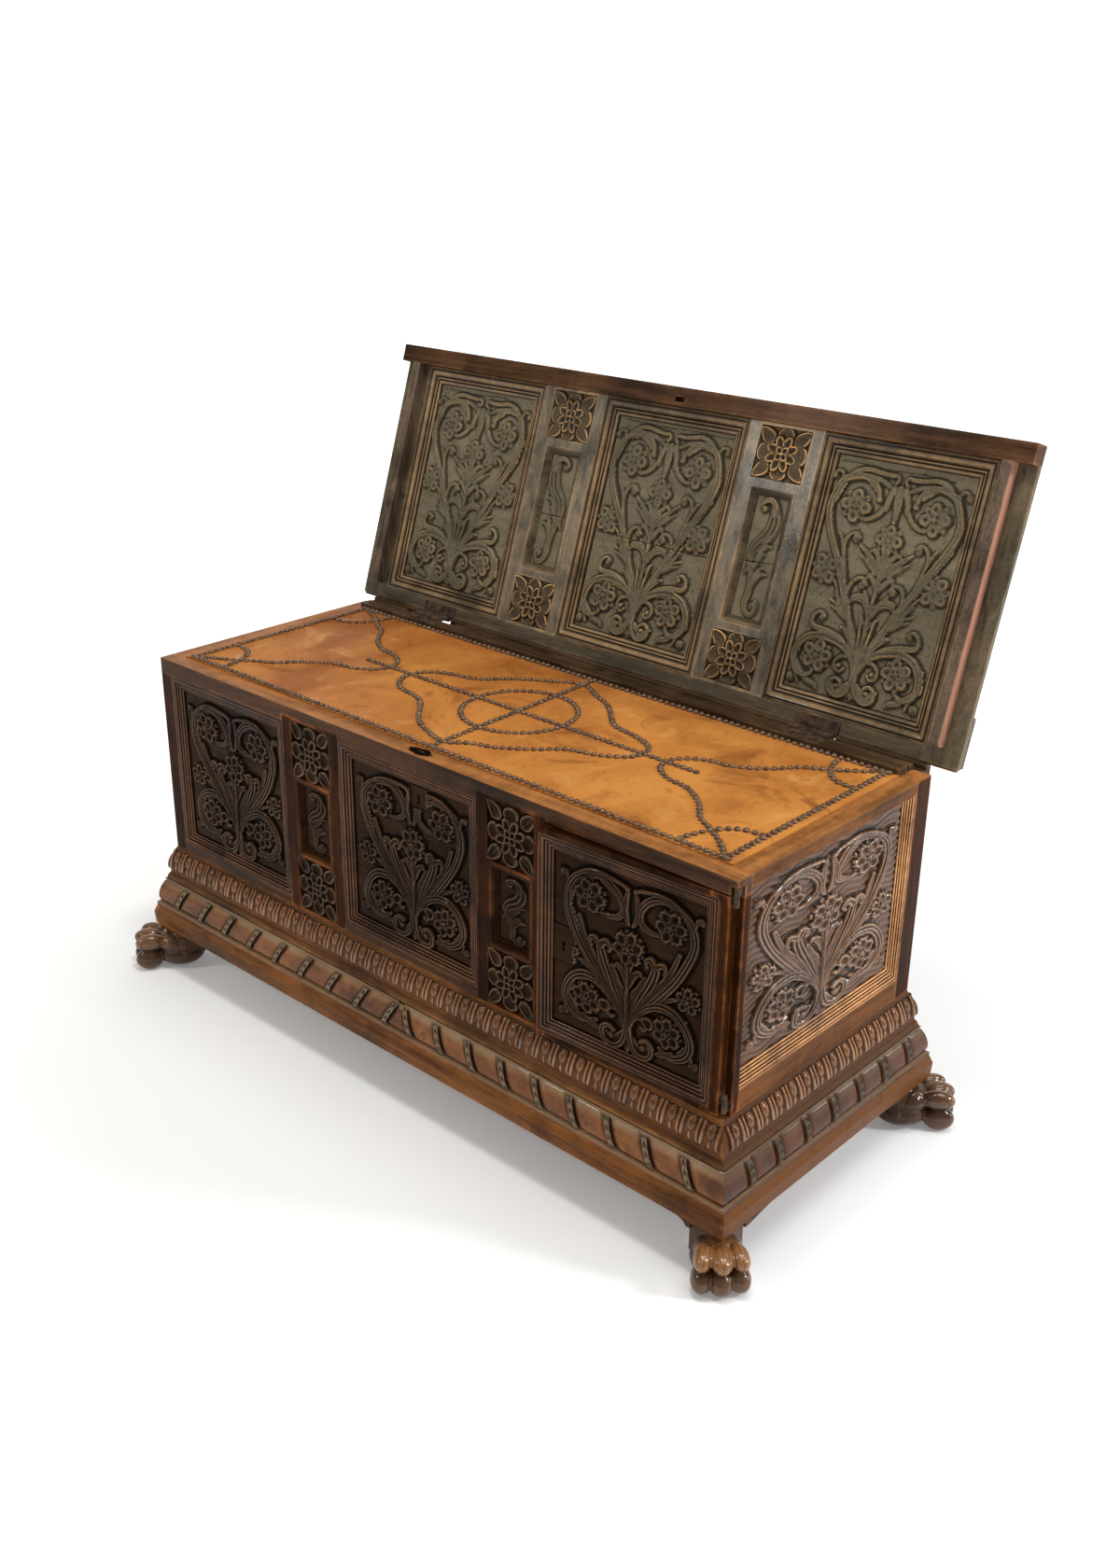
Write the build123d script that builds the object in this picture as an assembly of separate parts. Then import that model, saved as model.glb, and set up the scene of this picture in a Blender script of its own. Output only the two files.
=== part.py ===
"""Walnut cassone: carved and panelled chest on a moulded plinth and lion-paw feet.

Millimetres, +Z up, the front faces -Y. The chest is laid out about its own middle, with the
lid and the door shut, and each is then turned about its hinge to where it stands open.
At the end everything is moved so that the origin is the middle of the floor that it covers.
"""
from build123d import *
import math
import os

# ---------------------------------------------------------------- case, overall
case_width = 1340.0
case_depth = 509.2
case_height = 391.0
frame_thickness = 34.0

# ---------------------------------------------------------------- framing of the front
front_stile = 29.0
front_top_rail = 30.0
front_bottom_rail = 17.0
muntin_width = 150.0
muntin_centre = 240.0
muntin_lap = 12.0
panel_recess = 12.0
panel_thickness = 6.0
panel_tongue = 6.0
groove_clearance = 0.2
moulding_width = 25.0
moulding_reeds = 4
reed_swell = 0.16
narrow_width = 88.0
narrow_margin = 6.0
narrow_moulding = 13.0
narrow_recess = 10.0
narrow_reeds = 3
rosette_width = 100.0
rosette_height = 106.0
rosette_sink = 5.0
rosette_relief = 9.0
petal_share = 0.18
petal_cuts = 8
petal_relief = 0.66
eye_share = 0.2
eye_slope = 45.0
rosette_top_drop = 76.0
rosette_foot_rise = 55.0

# ---------------------------------------------------------------- carving, in its main forms
stem_relief = 5.0
stem_width = 6.0
flower_relief = 5.6
flower_cuts = 8
flower_slope = 62.0
flower_spread = 0.85
carving_root = 0.6
centre_carving_shift = 8.0
outer_carving_shift = 6.0
side_carving_rise = 4.0
side_carving_height = 285.0
side_carving_shift = 3.0
keyhole_patch_width = 44.0
keyhole_patch_height = 38.0
door_patch_height = 66.0

# ---------------------------------------------------------------- sides and back
side_top_rail = 22.0
side_bottom_rail = 36.0
side_recess = 8.0
side_panel_thickness = 10.0
side_moulding_width = 34.0
rear_stile = 39.6
back_board_thickness = 16.0
back_lip_rise = 10.0
back_lip_depth = 10.6
back_lip_wide_gap = 25.0
back_lip_inner_gap = 36.0

# ---------------------------------------------------------------- floor, deck and leather
floor_thickness = 16.0
deck_thickness = 18.0
deck_batten = 20.0
leather_thickness = 2.5
hinge_rail_depth = 26.0
hinge_rail_height = 12.0
hinge_rail_setback = 16.6

# ---------------------------------------------------------------- door
door_rebate = 18.0
door_seat_gap = 0.3
door_edge_lap = 6.0
door_edge_gap = 2.0
door_top_lap = 2.0
door_top_gap = 2.5
door_foot_gap = 3.0
door_stop = 10.0
door_top_stop = 4.0
door_left_margin = 1.0
door_right_margin = 17.0
door_rail_margin = 8.0
door_frame_cover = 15.0
door_ajar = 2.5

# ---------------------------------------------------------------- door hinges
door_axis_inset = 5.5
door_axis_depth = 7.0
door_knuckle_radius = 4.2
door_knuckle_length = 15.0
door_knuckle_space = 2.3
door_pin_radius = 2.2
door_leaf_thickness = 2.5
door_web_thickness = 3.2
door_top_hinge_drop = 1.0
door_foot_hinge_rise = 21.0
pin_clearance = 0.05
knuckle_gap = 0.4

# ---------------------------------------------------------------- lid
lid_overhang = 31.0
lid_front_setback = 1.0
lid_rear_gap = 4.8
lid_frame_thickness = 20.0
lid_board_thickness = 10.0
lid_raise = 21.5
lid_seat_gap = 0.3
lid_lean = 17.9
lid_axis_back = 9.3
lid_axis_rise = 8.5
lid_front_rail = 32.5
lid_rear_rail = 23.2
lid_end_stile = 64.0
lid_muntin_width = 152.0
lid_moulding_width = 32.0
lid_edge_radius = 14.0
lid_narrow_margin = 16.0
lid_rosette_width = 104.0
lid_rosette_height = 90.0
lid_rosette_inset = 50.0
cleat_width = 19.0
cleat_inset = 2.0
cleat_round = 10.0
batten_width = 84.0
batten_thickness = 18.0
batten_inset = 11.0
batten_round = 8.0

# ---------------------------------------------------------------- lid hinges
leaf_width = 84.0
leaf_thickness = 2.5
leaf_reach = 24.0
lid_hinge_left = 473.0
lid_hinge_right = 438.0
lid_knuckle_radius = 4.5
lid_pin_radius = 2.4
lid_knuckles = 3

# ---------------------------------------------------------------- locks
bolt_clearance = 0.3
mortise_clearance = 2.0
lid_lock_x = 18.0
lid_lock_width = 66.0
lid_lock_height = 62.0
lid_lock_thickness = 18.0
lid_bolt_width = 18.0
lid_bolt_thickness = 5.0
lid_bolt_length = 73.0
lid_bolt_throw = 12.0
lid_bolt_below_rim = 2.0
bolt_setback = 2.0
door_lock_width = 58.0
door_lock_height = 66.0
door_lock_thickness = 13.0
door_lock_setback = 20.0
door_lock_drop = 217.0
door_bolt_height = 14.0
door_bolt_thickness = 5.0
door_bolt_length = 42.0
door_bolt_throw = 9.0
door_bolt_proud = 1.5
keyhole_radius = 3.2
keyhole_drop = 9.0
lid_keyhole_drop = 79.0
lid_keyhole_x = 22.0
door_keyhole_inset = 45.0

# ---------------------------------------------------------------- plinth
ovolo_height = 69.0
ovolo_out = 16.0
cavetto_depth = 3.5
torus_height = 60.0
torus_top_out = 19.0
torus_out = 33.5
torus_fillet = 2.5
base_height = 40.0
base_out = 40.0
base_swell = 1.6
plinth_inner = 18.0

# ---------------------------------------------------------------- feet
foot_height = 90.0
cap_size = 72.0
cap_step = 5.0
cap_steps = 3
cap_setback = 4.0
bracket_length = 42.0
bracket_height = 15.0
bracket_thickness = 18.0
paw_heel = 77.0
paw_body_width = 70.0
paw_body_round = 14.0
toe_reach = 52.0
side_toe_reach = 40.0
toe_width = 34.0
side_toe_width = 30.0
side_toe_offset = 26.0
side_toe_splay = 6.0
toe_notch = 16.0
toe_round = 0.28

# ---------------------------------------------------------------- levels and planes
half_w = case_width / 2
half_d = case_depth / 2
torus_z = foot_height + base_height
ovolo_z = torus_z + torus_height
case_z = ovolo_z + ovolo_height
rim_z = case_z + case_height
front_y = -half_d
frame_y = front_y + frame_thickness
back_frame_y = half_d - frame_thickness
back_board_y = half_d - back_board_thickness
rebate_y = front_y + door_rebate
bay_low_z = case_z + front_bottom_rail
bay_high_z = rim_z - front_top_rail
side_in = half_w - frame_thickness
muntin_in = muntin_centre - muntin_width / 2
muntin_out = muntin_centre + muntin_width / 2
bay_out = half_w - front_stile

solids = {}


def block(x0, x1, y0, y1, z0, z1):
    """A squared piece of timber or plate between two corners."""
    return Pos((x0 + x1) / 2, (y0 + y1) / 2, (z0 + z1) / 2) * Box(x1 - x0, y1 - y0, z1 - z0)


def keep(node, *pieces):
    """Files the solids of one node."""
    solids[node] = [solid for piece in pieces for solid in piece.solids()]


def both_sides(piece):
    """A piece and its mirror image at the other end of the chest."""
    return [piece, mirror(piece, about=Plane.YZ)]


def four_corners(piece):
    """A piece at the right rear corner and its mirror images at the other three."""
    rear = both_sides(piece)
    return rear + [mirror(one, about=Plane.XZ) for one in rear]


def rod_x(radius, x0, x1, y, z):
    return Pos((x0 + x1) / 2, y, z) * Rot(0, 90, 0) * Cylinder(radius, x1 - x0)


def rod_z(radius, x, y, z0, z1):
    return Pos(x, y, (z0 + z1) / 2) * Cylinder(radius, z1 - z0)


# ---------------------------------------------------------------- mitred and reeded mouldings
def reeded_profile(width, depth, reeds):
    """Section of a panel moulding: a flat fillet, then reeds that step down to the panel.

    The first coordinate runs inwards over the panel, the second out of the face.
    """
    fillet_width = width * 0.14
    inner_edge = depth * 0.12
    pitch = (width - fillet_width) / reeds
    drop = (depth - inner_edge) / reeds
    slope = math.atan2(drop, pitch)
    swell = pitch * reed_swell
    here = (fillet_width, 0.0)
    outline = [(0, -depth), (0, 0), here]
    for reed in range(reeds):
        after = (here[0] + pitch, here[1] - drop)
        outline.append(((here[0] + after[0]) / 2 + swell * math.sin(slope),
                        (here[1] + after[1]) / 2 + swell * math.cos(slope)))
        outline.append(after)
        here = after
    return make_face(Polyline(*outline, (width, -depth), close=True))


def strip(section, length):
    """A straight run of moulding along X, on the lower edge of its panel, facing -Y."""
    return extrude(Plane(origin=(0, 0, 0), x_dir=(0, 0, 1), z_dir=(1, 0, 0)) * section,
                   amount=length)


def prism_y(outline, reach):
    """A cutting block: an outline in X and Z, run through in Y."""
    return extrude(Plane.XZ * make_face(outline), amount=reach, both=True)


def mitred_frame(width, height, section, reach):
    """Four mitred strips round a rectangle about the origin in X and Z, facing -Y."""
    strips = []
    for turn, long, across in ((0, width, height), (90, height, width),
                               (180, width, height), (270, height, width)):
        outline = Polyline((-long / 2, -across / 2), (long / 2, -across / 2),
                           (long / 2 - reach, -across / 2 + reach),
                           (-long / 2 + reach, -across / 2 + reach), close=True)
        bar = Pos(-long / 2, 0, -across / 2) * strip(section, long)
        strips.append(Rot(0, turn, 0) * (bar & prism_y(outline, reach)))
    return strips


def framed(x0, x1, y, z0, z1, section, reach):
    """The same four strips set over one opening."""
    return [Pos((x0 + x1) / 2, y, (z0 + z1) / 2) * piece
            for piece in mitred_frame(x1 - x0, z1 - z0, section, reach)]


def rosette(width, height):
    """Carved flower of eight petals round a raised eye, cut to an oblong.

    It lies in X and Z on the plane Y = 0 and grows towards -Y.
    """
    petal = width * petal_share
    petals = Sketch() + RegularPolygon(width / 2 - petal, petal_cuts)
    for number in range(8):
        turn = math.radians(45 * number)
        corner = math.sqrt(2) if number % 2 else 1.0
        x = (width / 2 - petal) * corner * math.cos(turn)
        z = (height / 2 - petal) * corner * math.sin(turn)
        petals += Pos(x, z) * Rot(0, 0, 180 / petal_cuts) * RegularPolygon(petal, petal_cuts,
                                                                           major_radius=False)
    flower = extrude(Plane.XZ * petals, amount=rosette_relief * petal_relief)
    return flower + extrude(Plane.XZ * RegularPolygon(width * eye_share, petal_cuts),
                            amount=rosette_relief, taper=eye_slope)


# The two patterns, each drawn on a field of its own size, of which each panel gives its real
# one: the stems of the right half, and the flowers with their radius. X runs sideways from the
# middle line, Z upwards from the foot of the field.
tall_field = (128.5, 393.0)
tall_stems = (((12, 80), (42, 145), (82, 220), (110, 270), (119, 308), (100, 357), (66, 366),
               (38, 345)),
              ((32, 88), (80, 96), (113, 76), (119, 47), (97, 26)),
              ((6, 30), (27, 8), (43, 27)))
tall_flowers = ((74, 317, 28), (103, 203, 27), (77, 63, 28), (0, 272, 26))
tall_trunk = 40.0
broad_field = (140.0, 294.0)
broad_stems = (((12, 65), (52, 110), (95, 165), (116, 220), (102, 263), (60, 279), (22, 258)),
               ((20, 78), (62, 105), (104, 92), (117, 60), (93, 28)),
               ((7, 30), (28, 8), (46, 24)))
broad_flowers = ((75, 241, 29), (112, 133, 22), (76, 66, 27), (0, 181, 29))
broad_trunk = 36.0


def carving(field, stems, flowers, trunk, half_width, height):
    """Main forms of a carved panel: a trunk, stems in scrolls on both sides, and flowers.

    It stands on Z = 0, is rooted behind Y = 0 and grows towards -Y.
    """
    wide, tall = half_width / field[0], height / field[1]
    top = flowers[-1][1] - flowers[-1][2]
    lines = Sketch() + trace(Line((0, trunk * tall), (0, top * tall)), stem_width)
    for stem in stems:
        for hand in (-1, 1):
            lines += trace(Polyline(*[(hand * x * wide, z * tall) for x, z in stem]), stem_width)
    forms = extrude(Plane.XZ * lines, amount=stem_relief)
    forms += extrude(Plane.XZ * lines, amount=-carving_root)
    for x, z, radius in flowers:
        for hand in (-1, 1) if x else (1,):
            outline = Pos(hand * x * wide, z * tall) * RegularPolygon(radius * flower_spread,
                                                                      flower_cuts)
            forms += extrude(Plane.XZ * outline, amount=flower_relief, taper=flower_slope)
            forms += extrude(Plane.XZ * outline, amount=-carving_root)
    return forms


def tall_carving(half_width, height):
    return carving(tall_field, tall_stems, tall_flowers, tall_trunk, half_width, height)


def broad_carving(half_width, height):
    return carving(broad_field, broad_stems, broad_flowers, broad_trunk, half_width, height)


def narrow_board(height):
    """Narrow sunk panel of a muntin, with its reeded edge worked on the same board."""
    board = block(-narrow_width / 2, narrow_width / 2, narrow_recess,
                  narrow_recess + panel_thickness, -height / 2, height / 2)
    for piece in mitred_frame(narrow_width, height, narrow_section, narrow_moulding):
        board += piece
    return board


def keyhole(x, y, z, reach):
    """Round hole with a slot under it, run through in Y."""
    hole = Pos(x, y, z) * Rot(90, 0, 0) * Cylinder(keyhole_radius, reach)
    slot = keyhole_radius / 2
    return hole + block(x - slot, x + slot, y - reach / 2, y + reach / 2, z - keyhole_drop, z)


front_section = reeded_profile(moulding_width, panel_recess, moulding_reeds)
narrow_section = reeded_profile(narrow_moulding, narrow_recess, narrow_reeds)
side_section = reeded_profile(side_moulding_width, side_recess, moulding_reeds)
lid_section = reeded_profile(lid_moulding_width, panel_recess, moulding_reeds)

# ---------------------------------------------------------------- where the door goes
door_x0 = muntin_out - door_edge_lap + door_edge_gap
door_axis_x = half_w - door_axis_inset
door_axis_y = front_y + door_axis_depth
door_x1 = door_axis_x - door_knuckle_radius - door_knuckle_space
door_z0 = case_z + door_foot_gap
door_z1 = bay_high_z + door_top_lap
door_back_y = rebate_y - door_seat_gap
stop_x = muntin_out + door_stop
door_zone = block(muntin_out - door_edge_lap, half_w, front_y, rebate_y,
                  case_z, door_z1 + door_top_gap)


def door_eye(z0):
    """Rolled eye of a door hinge, not yet bored."""
    return rod_z(door_knuckle_radius, door_axis_x, door_axis_y, z0, z0 + door_knuckle_length)


def case_leaf(z0):
    """Plate let into the frame behind one eye."""
    return block(door_axis_x - door_knuckle_radius, door_axis_x + door_knuckle_radius, rebate_y,
                 rebate_y + door_leaf_thickness, z0, z0 + door_knuckle_length)


def door_leaf(z0):
    """Plate let into the edge of the door beside one eye."""
    return block(door_x1 - door_leaf_thickness, door_x1, front_y + door_leaf_thickness,
                 door_back_y - door_leaf_thickness, z0, z0 + door_knuckle_length)


half_gap = knuckle_gap / 2
top_joint_z = door_z1 - door_top_hinge_drop
foot_joint_z = door_z0 + door_foot_hinge_rise
case_eye_z = (top_joint_z + half_gap, foot_joint_z - half_gap - door_knuckle_length)
door_eye_z = (top_joint_z - half_gap - door_knuckle_length, foot_joint_z + half_gap)
half_web = door_web_thickness / 2
eye_bores = Part()
for joint_z in (top_joint_z, foot_joint_z):
    eye_bores += rod_z(door_pin_radius + pin_clearance, door_axis_x, door_axis_y,
                       joint_z - 2 * door_knuckle_length, joint_z + 2 * door_knuckle_length)

case_eyes = []
door_eyes = []
for case_z0, door_eye_z0 in zip(case_eye_z, door_eye_z):
    web = block(door_axis_x - half_web, door_axis_x + half_web, door_axis_y, rebate_y,
                case_z0, case_z0 + door_knuckle_length)
    case_eyes.append(door_eye(case_z0) + web + case_leaf(case_z0) - eye_bores)
    web = block(door_x1, door_axis_x, door_axis_y - half_web, door_axis_y + half_web,
                door_eye_z0, door_eye_z0 + door_knuckle_length)
    door_eyes.append(door_eye(door_eye_z0) + web + door_leaf(door_eye_z0) - eye_bores)
door_pins = [rod_z(door_pin_radius, door_axis_x, door_axis_y, joint_z - half_gap
                   - door_knuckle_length, joint_z + half_gap + door_knuckle_length)
             for joint_z in (top_joint_z, foot_joint_z)]
hinge_notch = block(door_x1, half_w, front_y, rebate_y, door_z1,
                    case_eye_z[0] + door_knuckle_length + door_top_gap)

# ---------------------------------------------------------------- where the bolts go
lid_bolt_y0 = rebate_y + bolt_setback
lid_bolt_z1 = rim_z - lid_bolt_below_rim
lid_mortise = block(lid_lock_x - lid_bolt_width / 2 - mortise_clearance,
                    lid_lock_x + lid_bolt_width / 2 + mortise_clearance,
                    lid_bolt_y0 - mortise_clearance,
                    lid_bolt_y0 + lid_bolt_thickness + mortise_clearance,
                    rim_z - lid_bolt_length, rim_z + lid_bolt_throw + mortise_clearance)
door_lock_z = rim_z - door_lock_drop
door_lock_x0 = door_x0 + door_lock_setback
door_bolt_y = door_back_y + door_lock_thickness / 2
door_bolt_x0 = door_lock_x0 - door_bolt_proud
door_slot = block(door_bolt_x0 - door_bolt_throw - mortise_clearance, stop_x,
                  door_bolt_y - door_bolt_thickness / 2 - mortise_clearance,
                  door_bolt_y + door_bolt_thickness / 2 + mortise_clearance,
                  door_lock_z - door_bolt_height / 2 - mortise_clearance,
                  door_lock_z + door_bolt_height / 2 + mortise_clearance)


# ---------------------------------------------------------------- front of the case
def groove(x0, x1):
    """What a panel's tongue takes out of the frame round one bay."""
    grow = panel_tongue + groove_clearance
    return block(x0 - grow, x1 + grow, front_y + panel_recess - groove_clearance,
                 front_y + panel_recess + panel_thickness + groove_clearance,
                 bay_low_z - grow, bay_high_z + grow)


def tongued_panel(x0, x1):
    return block(x0 - panel_tongue, x1 + panel_tongue, front_y + panel_recess,
                 front_y + panel_recess + panel_thickness,
                 bay_low_z - panel_tongue, bay_high_z + panel_tongue)


rosette_z = (rim_z - rosette_top_drop, case_z + rosette_foot_rise)
narrow_z = (rosette_z[0] + rosette_z[1]) / 2
narrow_height = rosette_z[0] - rosette_z[1] - rosette_height - 2 * narrow_margin
grooves = groove(-bay_out, -muntin_out) + groove(-muntin_in, muntin_in)


def muntin(centre):
    """Upright of the front with its window for the narrow panel and two sunk rosette beds."""
    post = block(centre - muntin_width / 2, centre + muntin_width / 2, front_y, frame_y,
                 case_z, bay_high_z + muntin_lap)
    post -= block(centre - narrow_width / 2, centre + narrow_width / 2, front_y, frame_y,
                  narrow_z - narrow_height / 2, narrow_z + narrow_height / 2)
    for z in rosette_z:
        post -= block(centre - rosette_width / 2, centre + rosette_width / 2, front_y,
                      front_y + rosette_sink, z - rosette_height / 2, z + rosette_height / 2)
    return post - grooves


muntin_laps = both_sides(block(muntin_in, muntin_out, front_y, frame_y,
                               bay_high_z, bay_high_z + muntin_lap))
top_rail = block(-half_w, half_w, front_y, frame_y, bay_high_z, rim_z)
top_rail += block(stop_x, bay_out, rebate_y, frame_y, bay_high_z - door_top_stop, bay_high_z)
top_rail -= muntin_laps + [grooves, door_zone, hinge_notch, lid_mortise, case_leaf(case_eye_z[0])]
right_muntin = muntin(muntin_centre) + block(muntin_out, stop_x, rebate_y, frame_y,
                                             case_z, bay_high_z)
right_muntin -= [door_zone, door_slot]
bottom_rails = [block(-bay_out, -muntin_out, front_y, frame_y, case_z, bay_low_z) - grooves,
                block(-muntin_in, muntin_in, front_y, frame_y, case_z, bay_low_z) - grooves,
                block(stop_x, bay_out, rebate_y, frame_y, case_z, bay_low_z)]
left_stile = block(-half_w, -bay_out, front_y, frame_y, case_z, bay_high_z) - grooves
right_stile = block(bay_out, half_w, rebate_y, frame_y, case_z, bay_high_z)
right_stile -= [case_leaf(case_eye_z[0]), case_leaf(case_eye_z[1])]
panel_y = front_y + panel_recess
field_foot_z = bay_low_z + moulding_width
field_height = bay_high_z - bay_low_z - 2 * moulding_width
lid_keyhole_z = rim_z - lid_keyhole_drop
lid_patch = block(lid_keyhole_x - keyhole_patch_width / 2, lid_keyhole_x + keyhole_patch_width / 2,
                  front_y, panel_y, lid_keyhole_z - keyhole_patch_height / 2,
                  lid_keyhole_z + keyhole_patch_height / 2)
centre_panel = tongued_panel(-muntin_in, muntin_in)
centre_panel += (Pos(centre_carving_shift, panel_y, field_foot_z)
                 * broad_carving(muntin_in - moulding_width, field_height)) - lid_patch
centre_panel -= keyhole(lid_keyhole_x, rebate_y, lid_keyhole_z, 2 * door_rebate)
left_panel = tongued_panel(-bay_out, -muntin_out)
left_panel += (Pos(outer_carving_shift - (bay_out + muntin_out) / 2, panel_y, field_foot_z)
               * broad_carving((bay_out - muntin_out) / 2 - moulding_width, field_height))

keep("front_top_rail", top_rail)
keep("front_bottom_rails", *bottom_rails)
keep("front_left_stile", left_stile)
keep("front_right_stile", right_stile)
keep("front_left_muntin", muntin(-muntin_centre))
keep("front_right_muntin", right_muntin)
keep("front_left_panel", left_panel)
keep("front_centre_panel", centre_panel)
keep("front_left_moulding", *framed(-bay_out, -muntin_out, front_y, bay_low_z, bay_high_z,
                                    front_section, moulding_width))
keep("front_centre_moulding", *framed(-muntin_in, muntin_in, front_y, bay_low_z, bay_high_z,
                                      front_section, moulding_width))
keep("front_narrow_panels", *[Pos(x, front_y, narrow_z) * narrow_board(narrow_height)
                              for x in (-muntin_centre, muntin_centre)])
keep("front_rosettes", *[Pos(x, front_y + rosette_sink, z)
                         * rosette(rosette_width, rosette_height)
                         for x in (-muntin_centre, muntin_centre) for z in rosette_z])
keep("door_hinge_case_eyes", *case_eyes)
keep("door_hinge_pins", *door_pins)

# ---------------------------------------------------------------- sides of the case
side_rear_y = half_d - rear_stile
side_low_z = case_z + side_bottom_rail
side_high_z = rim_z - side_top_rail
side_length = side_rear_y - frame_y
side_face = half_w - side_recess
grow = panel_tongue + groove_clearance
side_groove = block(side_face - side_panel_thickness - groove_clearance,
                    side_face + groove_clearance, frame_y, side_rear_y + grow,
                    side_low_z - grow, side_high_z + grow)
side_panel = block(side_face - side_panel_thickness, side_face, frame_y,
                   side_rear_y + panel_tongue, side_low_z - panel_tongue,
                   side_high_z + panel_tongue)
side_field = side_length - side_moulding_width
side_panel += (Pos(side_face, frame_y + side_field / 2 + side_carving_shift,
                   side_low_z + side_moulding_width + side_carving_rise) * Rot(0, 0, 90)
               * broad_carving(side_field / 2, side_carving_height))
foot_mitre =Polyline((0, 0), (side_length, 0),
                      (side_length - side_moulding_width, side_moulding_width),
                      (0, side_moulding_width), close=True)
foot_strip = strip(side_section, side_length) & prism_y(foot_mitre, side_moulding_width)
rear_mitre = Polyline((side_length, 0), (side_length, side_high_z - side_low_z),
                      (side_length - side_moulding_width, side_high_z - side_low_z),
                      (side_length - side_moulding_width, side_moulding_width), close=True)
rear_strip = Pos(side_length, 0, 0) * Rot(0, -90, 0) * strip(side_section,
                                                             side_high_z - side_low_z)
rear_strip &= prism_y(rear_mitre, side_moulding_width)
side_seat = Pos(half_w, frame_y, side_low_z) * Rot(0, 0, 90)
side_strips = [side_seat * foot_strip, side_seat * rear_strip]

keep("side_top_rails",
     *both_sides(block(side_in, half_w, frame_y, side_rear_y, side_high_z, rim_z) - side_groove))
keep("side_bottom_rails",
     *both_sides(block(side_in, half_w, frame_y, side_rear_y, case_z, side_low_z) - side_groove))
keep("rear_stiles",
     *both_sides(block(side_in, half_w, side_rear_y, half_d, case_z, rim_z) - side_groove))
keep("right_side_panel", side_panel)
keep("left_side_panel", mirror(side_panel, about=Plane.YZ))
keep("right_side_moulding", *side_strips)
keep("left_side_moulding", *[mirror(piece, about=Plane.YZ) for piece in side_strips])

# ---------------------------------------------------------------- back, floor and deck
hinge_rail_y1 = half_d - hinge_rail_setback
hinge_rail_y0 = hinge_rail_y1 - hinge_rail_depth
hinge_rail_z1 = rim_z + hinge_rail_height
back_seam_z = (case_z + bay_high_z) / 2
deck_z = rim_z - deck_thickness
half_leaf = leaf_width / 2
back_top_rail = block(-side_in, side_in, back_frame_y, half_d, bay_high_z, rim_z)
for lip_x0, lip_x1 in ((-side_in, -lid_hinge_left - half_leaf - back_lip_wide_gap),
                       (-lid_hinge_left + half_leaf + back_lip_inner_gap,
                        lid_hinge_right - half_leaf - knuckle_gap),
                       (lid_hinge_right + half_leaf + knuckle_gap, side_in)):
    back_top_rail += block(lip_x0, lip_x1, half_d - back_lip_depth, half_d, rim_z,
                           rim_z + back_lip_rise)
keep("back_top_rail", back_top_rail)
keep("back_boards",
     block(-side_in, side_in, back_board_y, half_d, case_z, back_seam_z),
     block(-side_in, side_in, back_board_y, half_d, back_seam_z, bay_high_z))
keep("floor_board",
     block(-side_in, side_in, frame_y, back_board_y, case_z, case_z + floor_thickness))
keep("deck_board",
     block(-side_in, side_in, frame_y, back_frame_y, deck_z, rim_z))
keep("deck_battens",
     *both_sides(block(side_in - deck_batten, side_in, frame_y, back_frame_y,
                       deck_z - deck_batten, deck_z)))
keep("leather_cover",
     block(-side_in, side_in, frame_y, hinge_rail_y0, rim_z, rim_z + leather_thickness))

# ---------------------------------------------------------------- hinges of the lid
lid_axis_y = half_d + lid_axis_back
lid_axis_z = rim_z + lid_axis_rise
lid_face = lid_seat_gap + lid_raise - lid_axis_rise
knuckle_pitch = (leaf_width + knuckle_gap) / lid_knuckles
barrel_clear = lid_knuckle_radius + knuckle_gap
hinge_xs = (-lid_hinge_left, lid_hinge_right)


def knuckle_span(centre, number):
    """Ends along X of one knuckle of a hinge."""
    x0 = centre - leaf_width / 2 + number * knuckle_pitch
    return x0, x0 + knuckle_pitch - knuckle_gap


def case_half(centre):
    """Case side of a lid hinge: a plate let into the hinge rail, with the odd knuckles."""
    z0 = hinge_rail_z1 - leaf_thickness
    reach_y = hinge_rail_y0 + hinge_rail_height / 3
    plate = block(centre - leaf_width / 2, centre + leaf_width / 2, reach_y,
                  lid_axis_y - barrel_clear, z0, hinge_rail_z1)
    for number in range(0, lid_knuckles, 2):
        x0, x1 = knuckle_span(centre, number)
        plate += block(x0, x1, lid_axis_y - 2 * barrel_clear, lid_axis_y, z0, hinge_rail_z1)
        plate += rod_x(lid_knuckle_radius, x0, x1, lid_axis_y, lid_axis_z)
    return plate - rod_x(lid_pin_radius + pin_clearance, centre - leaf_width,
                         centre + leaf_width, lid_axis_y, lid_axis_z)


def lid_half(centre):
    """Lid side of a hinge, cranked from the barrel to the underside of the lid.

    It is laid out about the hinge line, with the lid upright and its underside facing -Y.
    """
    web_back = knuckle_gap - barrel_clear / 2
    plate = block(centre - leaf_width / 2, centre + leaf_width / 2, lid_face - leaf_thickness,
                  lid_face, web_back, leaf_reach)
    for number in range(1, lid_knuckles, 2):
        x0, x1 = knuckle_span(centre, number)
        plate += block(x0, x1, 0, lid_face, web_back, web_back + leaf_thickness)
        plate += rod_x(lid_knuckle_radius, x0, x1, 0, 0)
    return plate - rod_x(lid_pin_radius + pin_clearance, centre - leaf_width,
                         centre + leaf_width, 0, 0)


def lid_pin(centre):
    return rod_x(lid_pin_radius, centre - leaf_width / 2, centre + leaf_width / 2,
                 lid_axis_y, lid_axis_z)


case_halves = [case_half(centre) for centre in hinge_xs]
hinge_rail = block(-side_in, side_in, hinge_rail_y0, hinge_rail_y1, rim_z, hinge_rail_z1)
keep("deck_hinge_rail", hinge_rail - case_halves)
keep("lid_hinge_case_leaves", *case_halves)
keep("lid_hinge_pins", *[lid_pin(centre) for centre in hinge_xs])

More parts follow.
